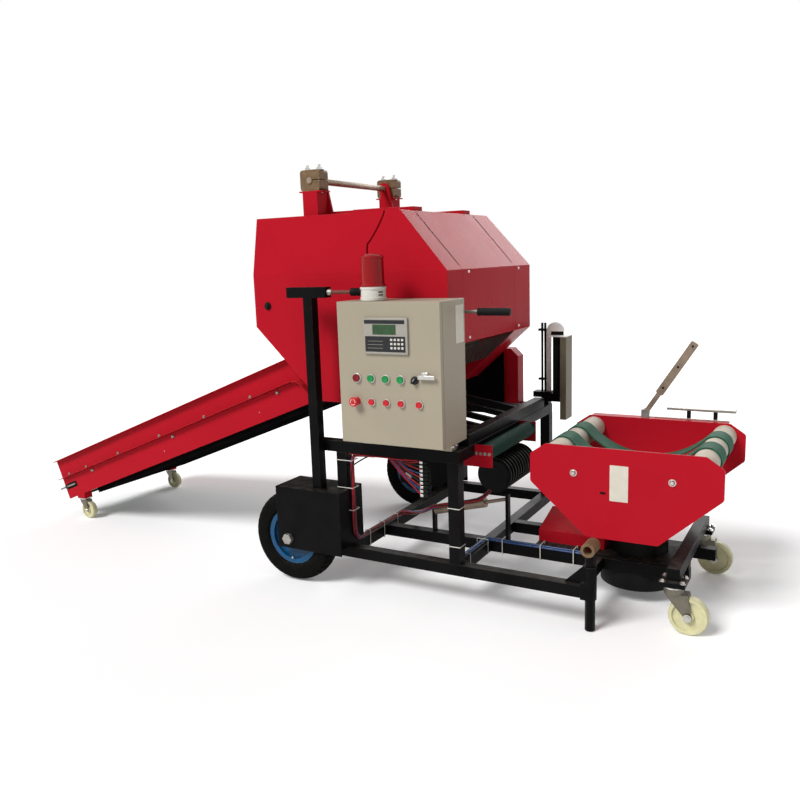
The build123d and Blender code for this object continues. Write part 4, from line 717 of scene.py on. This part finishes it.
def cabinet_trim():
    """Door hinges, foot bolts, blank side plate and the switchgear that shows with the door open."""
    hinges = Piece("door_hinges", "chassis", "bright_steel", "zinc")
    for z in PIN_HEIGHTS:
        hinges.rod((*PIN_AT, z - PIN_HALF), (*PIN_AT, z + PIN_HALF), PIN_R, 16)
    for x in FOOT_X:
        for y in FOOT_Y:
            hinges.bolt((x + FOOT_HALF, y, FOOT_BOLT_Z), REAR, 0.012, 0.007)
    hinges.done()
    plates = Piece("cabinet_plates", "chassis", "blank_plate")
    plates.box((0.878, -0.55, 1.112), (0.8786, -0.478, 1.264))
    plates.done()
    board = Piece("switch_board", "chassis", "meter_frame")
    board.box((0.43, BOARD_Y, 0.74), (0.855, -0.4695, 1.25))
    board.done(0.001)
    gear = Piece("switch_gear", "chassis", "panel_plastic", "panel_plastic")
    for z, count, height in GEAR_ROWS:
        for k in range(count):
            x0 = GEAR_X + k * GEAR_WIDTH / count
            x1 = x0 + GEAR_FILL / count
            gear.box((x0, -0.54, z - height / 2), (x1, BOARD_Y, z + height / 2))
            gear.box((x0 + GEAR_LIP, -0.548, z - height / 4), (x1 - GEAR_LIP, -0.538, z + height / 4))
    gear.done(0.002)
    rail = Piece("switch_terminals", "chassis", "white_plastic")
    for k in range(TERMINALS):
        x = TERMINAL_X + k * TERMINAL_PITCH
        rail.box((x, -0.512, 0.768), (x + TERMINAL_WIDTH, BOARD_Y, 0.8))
    rail.done(0.0008)


cabinet_trim()

# Castors
CastorSize = namedtuple("CastorSize", "radius height trail bolt_z bolt_axis flats head")
SMALL = CastorSize(0.05, 0.128, 0.032, -0.006, DOWN, 0.01, 0.006)
LARGE = CastorSize(0.075, 0.195, 0.057, 0.014, UP, 0.013, 0.009)
CASTORS = {"tail_near": (-1.662, -0.365, SMALL), "tail_far": (-1.662, 0.325, SMALL),
           "wrap_near": (1.713, -0.413, LARGE), "wrap_far": (1.713, 0.25, LARGE)}
PLATE_BOLT_X = 0.5  # shares of the wheel's radius
PLATE_BOLT_Y = 0.42
PIN_NUT = 0.22
PIN_NUT_SEAT = 0.003
PIN_NUT_HEIGHT = 0.008
RACE_DROP = 0.0075


def castor_bolts():
    """Four bolts through each castor plate, a nut on each wheel pin and the swivel's race."""
    heads = Piece("castor_plate_bolts", "chassis", "bright_steel", "zinc")
    for name, (x, y, size) in CASTORS.items():
        radius = size.radius
        for dx in (-PLATE_BOLT_X, PLATE_BOLT_X):
            for dy in (-PLATE_BOLT_Y, PLATE_BOLT_Y):
                at = (x + dx * radius, y + dy * radius, size.height + size.bolt_z)
                heads.bolt(at, size.bolt_axis, size.flats, size.head)
        nuts = Piece(f"castor_nuts_{name}", f"castor_{name}", "bright_steel", "zinc")
        low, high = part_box(f"castor_fork_{name}")
        for face, out in ((low.y, NEAR), (high.y, FAR)):
            pin = (x + size.trail, face - out.y * PIN_NUT_SEAT, radius)
            nuts.bolt(pin, out, radius * PIN_NUT, PIN_NUT_HEIGHT)
        race = [(0, 0), (0, radius * 0.56), (0.004, radius * 0.58), (0.008, radius * 0.52), (0.0085, 0)]
        nuts.turned((x, y, size.height - RACE_DROP), DOWN, race, 32)
        nuts.done()
    heads.done()


castor_bolts()

# Conveyor
LEDGE_REACH = 0.044
LEDGE_THICK = 0.003
LEDGE_LAP = 0.001
LEDGE_LINE = ((0.01, 0.127), (1.9, 0.127), (1.93, 0.117), (1.952, 0.094), (1.994, 0.004))
COVER_DEPTH = 0.02
SIDE_BOLTS_U = (0.075, 0.24, 0.54, 0.9, 1.26, 1.6)
SIDE_BOLTS_W = 0.14
COVER_CAPS_U = (0.31, 1.02, 1.79)
COVER_CAPS_W = 0.106
COVER_CAP = ((0, 0), (0, 0.01), (0.005, 0.009), (0.009, 0.006), (0.009, 0))
COVER_RIVETS_U = (0.92, 1.64)
COVER_RIVETS_W = 0.05
TAKE_UP_W = 0.072
TAKE_UP_OUT = 0.024


def conveyor_fasteners():
    """Folded ledges over the chain covers, their bolts and rivets, and the tail's take-up screws."""
    bolts = Piece("conveyor_bolts", "chassis", "dull_steel", "zinc")
    ledges = Piece("conveyor_ledges", "chassis", "red_paint", "red_paint")
    dark = Piece("conveyor_slots", "chassis", "dark_gap")
    down_run = on_slope(-1, 0, 0) - on_slope(0, 0, 0)
    for side, out in ((-1, NEAR), (1, FAR)):
        face = side * RUN_HALF
        cover = face + side * COVER_DEPTH
        screw = face + side * TAKE_UP_OUT
        near, far = sorted((face, face + side * LEDGE_REACH))
        for (u0, w0), (u1, w1) in zip(LEDGE_LINE, LEDGE_LINE[1:]):
            bend = Matrix.Rotation(atan2(w0 - w1, u1 - u0), 4, "Y")
            ledges.box((-LEDGE_LAP, near, 0), (hypot(u1 - u0, w1 - w0) + LEDGE_LAP, far, LEDGE_THICK),
                       SLOPE_TURN @ Matrix.Translation((u0, 0, w0)) @ bend)
        for u in SIDE_BOLTS_U:
            bolts.bolt(on_slope(u, face, SIDE_BOLTS_W), out, 0.009, 0.006)
        for u in COVER_CAPS_U:
            bolts.turned(on_slope(u, cover, COVER_CAPS_W), out, COVER_CAP, 20)
        for u in COVER_RIVETS_U:
            bolts.rivet(on_slope(u, cover, COVER_RIVETS_W), out, 0.004)
        # The take-up slot is a dark strip on the side plate: painted shade standing in for the opening
        slot_y = face + side * 0.0202
        dark.box((0.052, slot_y - 0.0008, 0.055), (0.138, slot_y + 0.0008, 0.088), SLOPE_TURN)
        bolts.rod(on_slope(-0.012, screw, TAKE_UP_W), on_slope(0.13, screw, TAKE_UP_W), 0.0055, 12)
        bolts.bolt(on_slope(0.05, screw, TAKE_UP_W), down_run, 0.016, 0.01)
    bolts.done()
    dark.done()
    ledges.done(0.001)


conveyor_fasteners()

# Chamber, gate and roof hinge
PLUG_AT = (-0.13, -0.46, 1.255)
PLUG = ((0, 0), (0, 0.019), (0.004, 0.018), (0.005, 0.013), (0.012, 0.012), (0.014, 0.009), (0.014, 0))
BLOCK_Y = (-0.35, 0.33)
BLOCK_BOLT_X = 0.032  # from the hinge's axis
BLOCK_TOP_Z = 1.858
BLOCK_FOOT_Z = 1.766
STUD_Z = (1.871, 1.8818)
STUD_R = 0.0066
NIPPLE_X = (0.052, 0.06)
NIPPLE_Y = 0.012
NIPPLE_R = 0.005
HUNG_BOLTS_X = (0.893, 0.913, 0.933, 0.953)
HUNG_BOLTS_AT = (-0.406, 0.63)
GATE_REAR_X = 0.802
GATE_RIVETS_Y = (-0.25, 0.34)
GATE_RIVETS_Z = (1.388, 1.105)
FACET_TOP = (0.578, 1.655)
FACET_RUN = Vector((0.224, 0, -0.255))
SEAMS_Y = (-0.311, 0.291)


def chamber_fasteners():
    """Rubber plug in the near cover and the bolts of the roof hinge and of the hung plate."""
    plug = Piece("cover_plug", "chassis", "grip_rubber")
    plug.turned(PLUG_AT, NEAR, PLUG, 24)
    plug.done()
    heads = Piece("chamber_rivets", "chassis", "bright_steel", "zinc")
    for y in BLOCK_Y:
        for x in (HINGE.x - BLOCK_BOLT_X, HINGE.x + BLOCK_BOLT_X):
            heads.bolt((x, y, BLOCK_TOP_Z), UP, 0.022, 0.014)
            heads.rod((x, y, STUD_Z[0]), (x, y, STUD_Z[1]), STUD_R, 16)
            heads.bolt((x, y, BLOCK_FOOT_Z), DOWN, 0.021, 0.01)
        nipple = [(HINGE.x - x, y - NIPPLE_Y, HINGE.z) for x in NIPPLE_X]
        heads.rod(*nipple, NIPPLE_R, 12)
    heads.done()
    hung = Piece("hung_plate_bolts", "chassis", "dull_steel", "zinc")
    for x in HUNG_BOLTS_X:
        hung.bolt((x, *HUNG_BOLTS_AT), NEAR, 0.0075, 0.005)
    hung.done()


def gate_fasteners():
    """Rivets on the gate's rear panel and the seams on its upper facet."""
    gate = Piece("gate_rivets", "gate", "bright_steel", "zinc")
    for y in GATE_RIVETS_Y:
        for z in GATE_RIVETS_Z:
            gate.rivet((GATE_REAR_X, y, z), REAR, 0.007)
    gate.done()
    seams = Piece("gate_seams", "gate", "dark_gap")
    down = FACET_RUN.normalized()
    facet = Matrix((down, (0, 1, 0), (-down.z, 0, down.x))).transposed().to_4x4()
    for y in SEAMS_Y:
        start = Matrix.Translation((FACET_TOP[0], y, FACET_TOP[1]))
        seams.box((0.01, -0.003, -0.001), (0.318, 0.003, 0.0007), start @ facet)
    seams.done()


chamber_fasteners()
gate_fasteners()

# Wrapper and parking leg
PLATE_HALF_Y = 0.32
PLATE_BOLTS_X = (-0.192, 0.19)  # from the table's axis
PLATE_BOLTS_Z = 0.586
DOME_SEAT = 0.002
DOME_SEAT_R = 0.0145
DOME = ((0, 0), (0, 0.0105), (0.005, 0.01), (0.009, 0.007), (0.0105, 0))
LEVER_FOOT = Vector((1.449, 0.251, 0.722))
LEVER_TIP = Vector((1.657, 0.251, 1.046))
LEVER_HALF = 0.012
LEVER_HOLES = (0.36, 0.66, 0.95)  # shares of the lever's length
SLEEVES_X = (1.634, 1.747)
SLEEVES_Y = 0.279
SLEEVES_Z = (0.704, 0.7364)
SLEEVES_R = 0.0092
TOW_AT = (1.426, -0.545, 0.338)
TOW_HALF = 0.0404
TOW_BORE = 0.0168
TOW_SKIN = 0.0276


def wrapper_fasteners():
    """Domed bolts, a slot and a blank plate on the turntable's side plates."""
    face = TABLE.y - PLATE_HALF_Y
    bolts = Piece("wrapper_bolts", "turntable", "bright_steel", "zinc")
    for side, out in ((face, NEAR), (TABLE.y + PLATE_HALF_Y, FAR)):
        for dx in PLATE_BOLTS_X:
            at = Vector((TABLE.x + dx, side, PLATE_BOLTS_Z))
            bolts.rod(at, at + out * DOME_SEAT, DOME_SEAT_R, 24)
            bolts.turned(at + out * DOME_SEAT, out, DOME, 24)
    bolts.done()
    # The slot is a dark box on the side plate: painted shade standing in for the opening
    slot_piece = Piece("wrapper_slot", "turntable", "dark_gap")
    slot_piece.box((TABLE.x - 0.085, face - 0.0006, 0.511), (TABLE.x - 0.063, face + 0.001, 0.52))
    slot_piece.done()
    plate = Piece("wrapper_plate", "turntable", "blank_plate")
    plate.box((TABLE.x - 0.047, face - 0.0008, 0.487), (TABLE.x + 0.025, face + 0.001, 0.632))
    plate.done(0.0005)


def cutter_fittings():
    """Pivot nut and holes of the film cutter's lever, and the edge and sleeves of its bar."""
    lever = Piece("cutter_nut", "cutter_lever", "bright_steel", "zinc")
    lever.bolt(LEVER_FOOT + FAR * LEVER_HALF, FAR, 0.019, 0.006)
    lever.done()
    # The lever's holes are dark discs on its face: painted shade standing in for the openings
    holes = Piece("cutter_holes", "cutter_lever", "dark_gap")
    for share in LEVER_HOLES:
        at = LEVER_FOOT.lerp(LEVER_TIP, share)
        holes.rod(at + NEAR * 0.0006, at + FAR * 0.002, 0.005, 16)
    holes.done()
    edge = Piece("cutter_edge", "turntable", "pale_zinc", "zinc")
    edge.box((1.5395, 0.2685, 0.7365), (1.8315, 0.312, 0.7475))
    edge.done(0.0015)
    sleeves = Piece("cutter_sleeves", "turntable", "dark_gap")
    for x in SLEEVES_X:
        sleeves.rod((x, SLEEVES_Y, SLEEVES_Z[0]), (x, SLEEVES_Y, SLEEVES_Z[1]), SLEEVES_R, 20)
    sleeves.done()


def tow_sleeve():
    """Worn bare skin on the tow tube."""
    piece = Piece("tow_sleeve", "parking_leg", "bronze_block", "bare_steel")
    piece.turned(TOW_AT, FAR, [(-TOW_HALF, TOW_BORE), (-TOW_HALF, TOW_SKIN), (TOW_HALF, TOW_SKIN),
                               (TOW_HALF, TOW_BORE), (-TOW_HALF, TOW_BORE)], 32)
    bmesh.ops.remove_doubles(piece.mesh, verts=piece.mesh.verts, dist=0.00001)
    piece.done(0.0008)


wrapper_fasteners()
cutter_fittings()
tow_sleeve()

# Sheet trim
# The black sheet below the gate is painted shade: a dark stand-in for the shaded interior behind it
SHADE_SHEET_Y = (0.503, 0.506)
SHADE_SHEET_VIEW = ((0.23, 0.645), (0.654, 0.645), (0.654, 0.992), (0.6, 0.93), (0.56, 0.895), (0.47, 0.845),
              (0.23, 0.845))


def sheet_trim():
    """Black sheet inside the far rail, below the gate, that is painted shade standing in for the shaded
    interior there, and the web under the film stand's cap.
    """
    shade_sheet = Piece("far_shade_sheet", "chassis", "matt_black", "black_paint")
    sides = [[shade_sheet.mesh.verts.new((x, y, z)) for x, z in SHADE_SHEET_VIEW] for y in SHADE_SHEET_Y]
    shade_sheet.mesh.faces.new(sides[0])
    shade_sheet.mesh.faces.new(list(reversed(sides[1])))
    for k in range(len(SHADE_SHEET_VIEW)):
        after = (k + 1) % len(SHADE_SHEET_VIEW)
        shade_sheet.mesh.faces.new((sides[0][k], sides[0][after], sides[1][after], sides[1][k]))
    shade_sheet.done()
    web = Piece("film_cap_web", "chassis", "dark_machine", "dark_machine")
    web.box((0.896, 0.558, 1.0371), (0.96, 0.568, 1.0562))
    web.done(0.001)


sheet_trim()

# Expanded metal under the gate's rear panel
SCREEN_TOP = Vector((0.797, 0, 1.083))
SCREEN_FOOT = Vector((0.64, 0, 0.94))
SCREEN_WIDTH = 0.58
SCREEN_START_Y = -0.3
SCREEN_Y = (-0.303, 0.283)
MESH_CELL = (0.034, 0.013)
MESH_STRAND = 0.0034
MESH_JOIN = 0.0002


def gate_screen():
    """Slanted screen of diamond mesh between the gate's walls."""
    piece = Piece("gate_screen", "gate", "screen_wire", "dark_machine")
    down = SCREEN_FOOT - SCREEN_TOP
    rows = int(down.length / MESH_CELL[1])
    columns = int(SCREEN_WIDTH / MESH_CELL[0])
    for row in range(rows):
        middle = row + 0.5
        for column in range(columns + 1):
            y = SCREEN_START_Y + (column + 0.5 * (row % 2)) * MESH_CELL[0]
            corners = []
            for dy, dv in ((0, -1), (0.5, 0), (0, 1), (-0.5, 0)):
                at = SCREEN_TOP + down * min(1.0, max(0.0, (middle + dv) / rows))
                side = min(SCREEN_Y[1], max(SCREEN_Y[0], y + dy * MESH_CELL[0]))
                corners.append(piece.mesh.verts.new((at.x, side, at.z)))
            if 1 <= middle <= rows - 1:
                piece.mesh.faces.new(corners)
    bmesh.ops.remove_doubles(piece.mesh, verts=piece.mesh.verts, dist=MESH_JOIN)
    piece.done().modifiers.new("strands", "WIREFRAME").thickness = MESH_STRAND


gate_screen()

# Wires and air hoses, clipped to the frame
MAIN_RUN = (
    (0.47, -0.545, 0.6135), (0.41, -0.545, 0.6115), (0.37, -0.545, 0.608), (0.356, -0.545, 0.59),
    (0.354, -0.545, 0.54), (0.354, -0.545, 0.45), (0.354, -0.545, 0.33), (0.354, -0.543, 0.245),
    (0.349, -0.505, 0.206), (0.333, -0.43, 0.2005), (0.332, -0.32, 0.2005), (0.332, -0.2, 0.2005),
    (0.334, -0.11, 0.201), (0.356, -0.084, 0.204), (0.41, -0.108, 0.215), (0.48, -0.16, 0.243),
    (0.55, -0.222, 0.282), (0.6, -0.246, 0.312), (0.68, -0.247, 0.332), (0.78, -0.247, 0.357),
    (0.85, -0.244, 0.378), (0.88, -0.225, 0.42))
THIN_CABLE = ((0.347, -0.53, 0.553), (0.362, -0.522, 0.564), (0.4, -0.512, 0.588), (0.44, -0.508, 0.606),
              (0.48, -0.508, 0.6155))
WIND = 0.9  # turn of a strand round its bundle from point to point
WIND_ASIDE = Vector((0.3, 0.5, 1.0))
STRANDS = ("red_wire", "dark_wire", "red_wire", "red_wire", "dark_wire", "red_wire", "blue_hose")
STRAND_R = 0.0034
BUNDLE_R = 0.0072
VALVE_COLOURS = ("red_wire", "blue_hose", "red_wire", "dark_wire")
VALVE_LOW_Z = 0.458
VALVE_PITCH = 0.018
VALVE_COUNT = 9
VALVE_X = 0.7012
PLUG_IN = 0.36  # share of a pitch
PLUG_X = 0.697
FAN_START = (0.547, -0.556, 0.615)
FAN_STEP = (0.0055, 0.0027, 0)
RAIL_COLOURS = ("red_wire", "dark_wire", "red_wire", "blue_hose")
RAIL_Y = -0.56
RAIL_STEP = 0.01
HOSE_R = 0.0042
HOSE_Y = -0.2393
HOSE_Z = 0.1903
HOSE_ROWS = ((-0.01, 0.0), (-0.0015, 0.0008), (0.007, 0.0), (0.0028, 0.007))  # aside, up
HOSE_SAG = 0.0005


def wound(route, number):
    """One of the strands that wind round a route."""
    placed = []
    for i, at in enumerate(route):
        ahead = Vector(route[min(i + 1, len(route) - 1)]) - Vector(route[max(i - 1, 0)])
        side = ahead.cross(WIND_ASIDE).normalized()
        up = ahead.cross(side).normalized()
        angle = 2 * pi * number / len(STRANDS) + WIND * i
        placed.append(Vector(at) + BUNDLE_R * (cos(angle) * side + sin(angle) * up))
    return placed


def lines(name, look, radius, routes):
    """Round wires or hoses of one colour, each on its own smooth curve."""
    curve = bpy.data.curves.new(name, "CURVE")
    curve.dimensions = "3D"
    curve.bevel_depth = radius
    curve.bevel_resolution = 2
    curve.resolution_u = 6
    curve.use_fill_caps = True
    for route in routes:
        spline = curve.splines.new("NURBS")
        spline.points.add(len(route) - 1)
        for point, at in zip(spline.points, route):
            point.co = (*at, 1.0)
        spline.order_u = 3
        spline.use_endpoint_u = True
    curve.materials.append(looks[look])
    made = add_object(name, curve)
    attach(made, "chassis")
    return made


def wires():
    """Main loom down the front leg, fan of wires to the valves, loom under the rail and a thin cable."""
    routes = {colour: [] for colour in STRANDS}
    for number, colour in enumerate(STRANDS):
        routes[colour].append(wound(MAIN_RUN, number))
    for k in range(VALVE_COUNT):
        start = Vector([at + step * k for at, step in zip(FAN_START, FAN_STEP)])
        end = Vector((PLUG_X, LEG_Y, VALVE_LOW_Z + (k + PLUG_IN) * VALVE_PITCH))
        sag = DOWN * (0.01 + 0.004 * (k % 3))
        route = (start, start.lerp(end, 0.35) + sag, start.lerp(end, 0.75) + sag * 0.5, end)
        routes[VALVE_COLOURS[k % len(VALVE_COLOURS)]].append(route)
    for k, colour in enumerate(RAIL_COLOURS):
        y = RAIL_Y + RAIL_STEP * k
        routes[colour].append(((0.35, y, 0.6155), (0.43, y, 0.611 - 0.002 * k), (0.52, y, 0.6145),
                               (0.6, y, 0.611), (0.69, y, 0.6155)))
    routes["dark_wire"].append(THIN_CABLE)
    red = lines("red_strands", "red_wire", STRAND_R, routes["red_wire"])
    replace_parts(red, "wire_harness")
    lines("dark_strands", "dark_wire", STRAND_R, routes["dark_wire"])
    lines("blue_strands", "blue_hose", STRAND_R, routes["blue_hose"])


def hoses():
    """Air hoses along the middle beam and the inner rail."""
    routes = []
    for aside, up in HOSE_ROWS:
        x, y, z = 0.86 + aside, HOSE_Y - aside, HOSE_Z + up
        low = z - HOSE_SAG
        routes.append(((x, -0.5, z), (x, -0.4, z), (x, -0.29, z), (0.862 + aside, y, z), (0.915, y, z),
                       (0.944, y, z), (1.035, y, low), (1.121, y, z), (1.195, y, low), (1.269, y, z),
                       (1.349, y, z)))
    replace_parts(lines("air_hoses", "blue_hose", HOSE_R, routes), "air_hose")


def valve_fittings():
    """Coil and plug on each valve."""
    fittings = Piece("valve_fittings", "chassis", "bright_steel", "zinc")
    for k in range(VALVE_COUNT):
        z = VALVE_LOW_Z + k * VALVE_PITCH
        fittings.box((VALVE_X, -0.5628, z + 0.001), (0.716, -0.5272, z + 0.012))
        fittings.rod((VALVE_X, LEG_Y, z + 0.0065), (0.694, LEG_Y, z + 0.0065), 0.0046, 12)
    fittings.done(0.0012)


wires()
hoses()
valve_fittings()

# Cable ties: the axis that a band goes round, its places along it, and the rectangle inside it
TIE_WIDTH = 0.0036
TIE_THICK = 0.0015
TieRow = namedtuple("TieRow", "axis places low high")
TIES = (
    TieRow(2, (0.585, 0.46, 0.358), (0.2895, -0.5705), (0.367, -0.5195)),
    TieRow(2, (0.428, 0.263), (0.8345, -0.5705), (0.8855, -0.5195)),
    TieRow(1, (-0.47, -0.28), (0.8345, 0.1355), (0.8855, 0.203)),
    TieRow(1, (-0.4, -0.27, -0.14), (0.319, 0.1355), (0.3435, 0.2105)),
    TieRow(0, (0.944, 1.121, 1.269), (-0.2545, 0.1355), (-0.1945, 0.203)))


def tie(piece, axis, at, low, high):
    """Flat band round a rectangle that is square to one axis."""
    a, b = [k for k in range(3) if k != axis]
    outer_low = [value - TIE_THICK for value in low]
    outer_high = [value + TIE_THICK for value in high]
    bars = ((outer_low, (low[0], outer_high[1])), ((high[0], outer_low[1]), outer_high),
            ((low[0], outer_low[1]), (high[0], low[1])), ((low[0], high[1]), (high[0], outer_high[1])))
    for corner, opposite in bars:
        start, end = Vector(), Vector()
        start[axis], end[axis] = at - TIE_WIDTH / 2, at + TIE_WIDTH / 2
        start[a], start[b] = corner
        end[a], end[b] = opposite
        piece.box(start, end)


def ties():
    """Cable ties round legs, beams and rail."""
    bands = Piece("cable_ties", "chassis", "white_plastic")
    for axis, places, low, high in TIES:
        for at in places:
            tie(bands, axis, at, low, high)
    bands.done()


ties()

# Stage, light and camera
FLOOR_REACH = 40.0
FLOOR_WHITE = (0.94, 0.94, 0.94, 1.0)
FLOOR_GLOW = 0.12  # as the eye sees it, and no light on the machine
SKY_LIT = 0.33
SKY_SEEN = 1.0
SUN_STRENGTH = 2.8
SUN_SPREAD = radians(24)
SUN_AHEAD = Vector((0.45, 0.9, -1.0))
SOFTBOX_WATTS = 470.0
SOFTBOX_SIZE = (9.0, 4.2)
SOFTBOX_AT = (0.2, 9.5, 5.6)
SOFTBOX_AHEAD = Vector((0.0, -9.5, -4.1))
WHITE = (1.0, 1.0, 1.0, 1.0)


def backing(tree, lit, seen):
    """One strength where it lights, and another where eye, mirror or glass looks at it."""
    path = add_node(tree, "LightPath")
    mirrored = maths(tree, "MAXIMUM", path.outputs["Is Glossy Ray"], path.outputs["Is Transmission Ray"])
    looked = maths(tree, "MAXIMUM", path.outputs["Is Camera Ray"], mirrored)
    return ranged(tree, looked, (0.0, 1.0), lit, seen)


def stage():
    """White floor that is clear from below."""
    floor = add_object("floor", bpy.data.meshes.new("floor"))
    corners = [(x * FLOOR_REACH, y * FLOOR_REACH, 0) for x, y in ((-1, -1), (1, -1), (1, 1), (-1, 1))]
    floor.data.from_pydata(corners, [], [(0, 1, 2, 3)])
    white = bpy.data.materials.new("floor_white")
    white.use_nodes = True
    tree = white.node_tree
    shader = tree.nodes["Principled BSDF"]
    fill(shader, Base_Color=FLOOR_WHITE, Roughness=0.9, Specular_IOR_Level=0.0, Emission_Color=WHITE)
    link(tree, backing(tree, 0.0, FLOOR_GLOW), shader.inputs["Emission Strength"])
    one_sided = add_node(tree, "MixShader")
    link(tree, add_node(tree, "NewGeometry").outputs["Backfacing"], one_sided.inputs[0])
    link(tree, shader.outputs["BSDF"], one_sided.inputs[1])
    link(tree, add_node(tree, "BsdfTransparent").outputs["BSDF"], one_sided.inputs[2])
    link(tree, one_sided.outputs["Shader"], tree.nodes["Material Output"].inputs["Surface"])
    floor.data.materials.append(white)


def hang(name, lamp, ahead):
    """Lamp that shines ahead."""
    made = add_object(name, lamp)
    made.rotation_mode = "QUATERNION"
    made.rotation_quaternion = ahead.to_track_quat("-Z", "Y")
    return made


def light():
    world = bpy.data.worlds.new("studio")
    bpy.context.scene.world = world
    world.use_nodes = True
    sky = world.node_tree.nodes["Background"]
    fill(sky, Color=WHITE)
    link(world.node_tree, backing(world.node_tree, SKY_LIT, SKY_SEEN), sky.inputs["Strength"])
    sun = bpy.data.lights.new("key", "SUN")
    sun.energy = SUN_STRENGTH
    sun.angle = SUN_SPREAD
    hang("key", sun, SUN_AHEAD)
    softbox = bpy.data.lights.new("softbox", "AREA")
    softbox.shape = "RECTANGLE"
    softbox.size, softbox.size_y = SOFTBOX_SIZE
    softbox.energy = SOFTBOX_WATTS
    hang("softbox", softbox, SOFTBOX_AHEAD).location = SOFTBOX_AT


def camera():
    data = bpy.data.cameras.new("camera")
    data.lens = LENS_MM
    data.sensor_width = SENSOR_MM
    made = add_object("camera", data)
    turn = Matrix((CAMERA_RIGHT, [-x for x in CAMERA_DOWN], [-x for x in CAMERA_AHEAD])).transposed().to_4x4()
    made.matrix_world = Matrix.Translation(CAMERA_AT) @ turn
    bpy.context.scene.camera = made


stage()
light()
camera()
bpy.context.scene.view_settings.view_transform = "Standard"
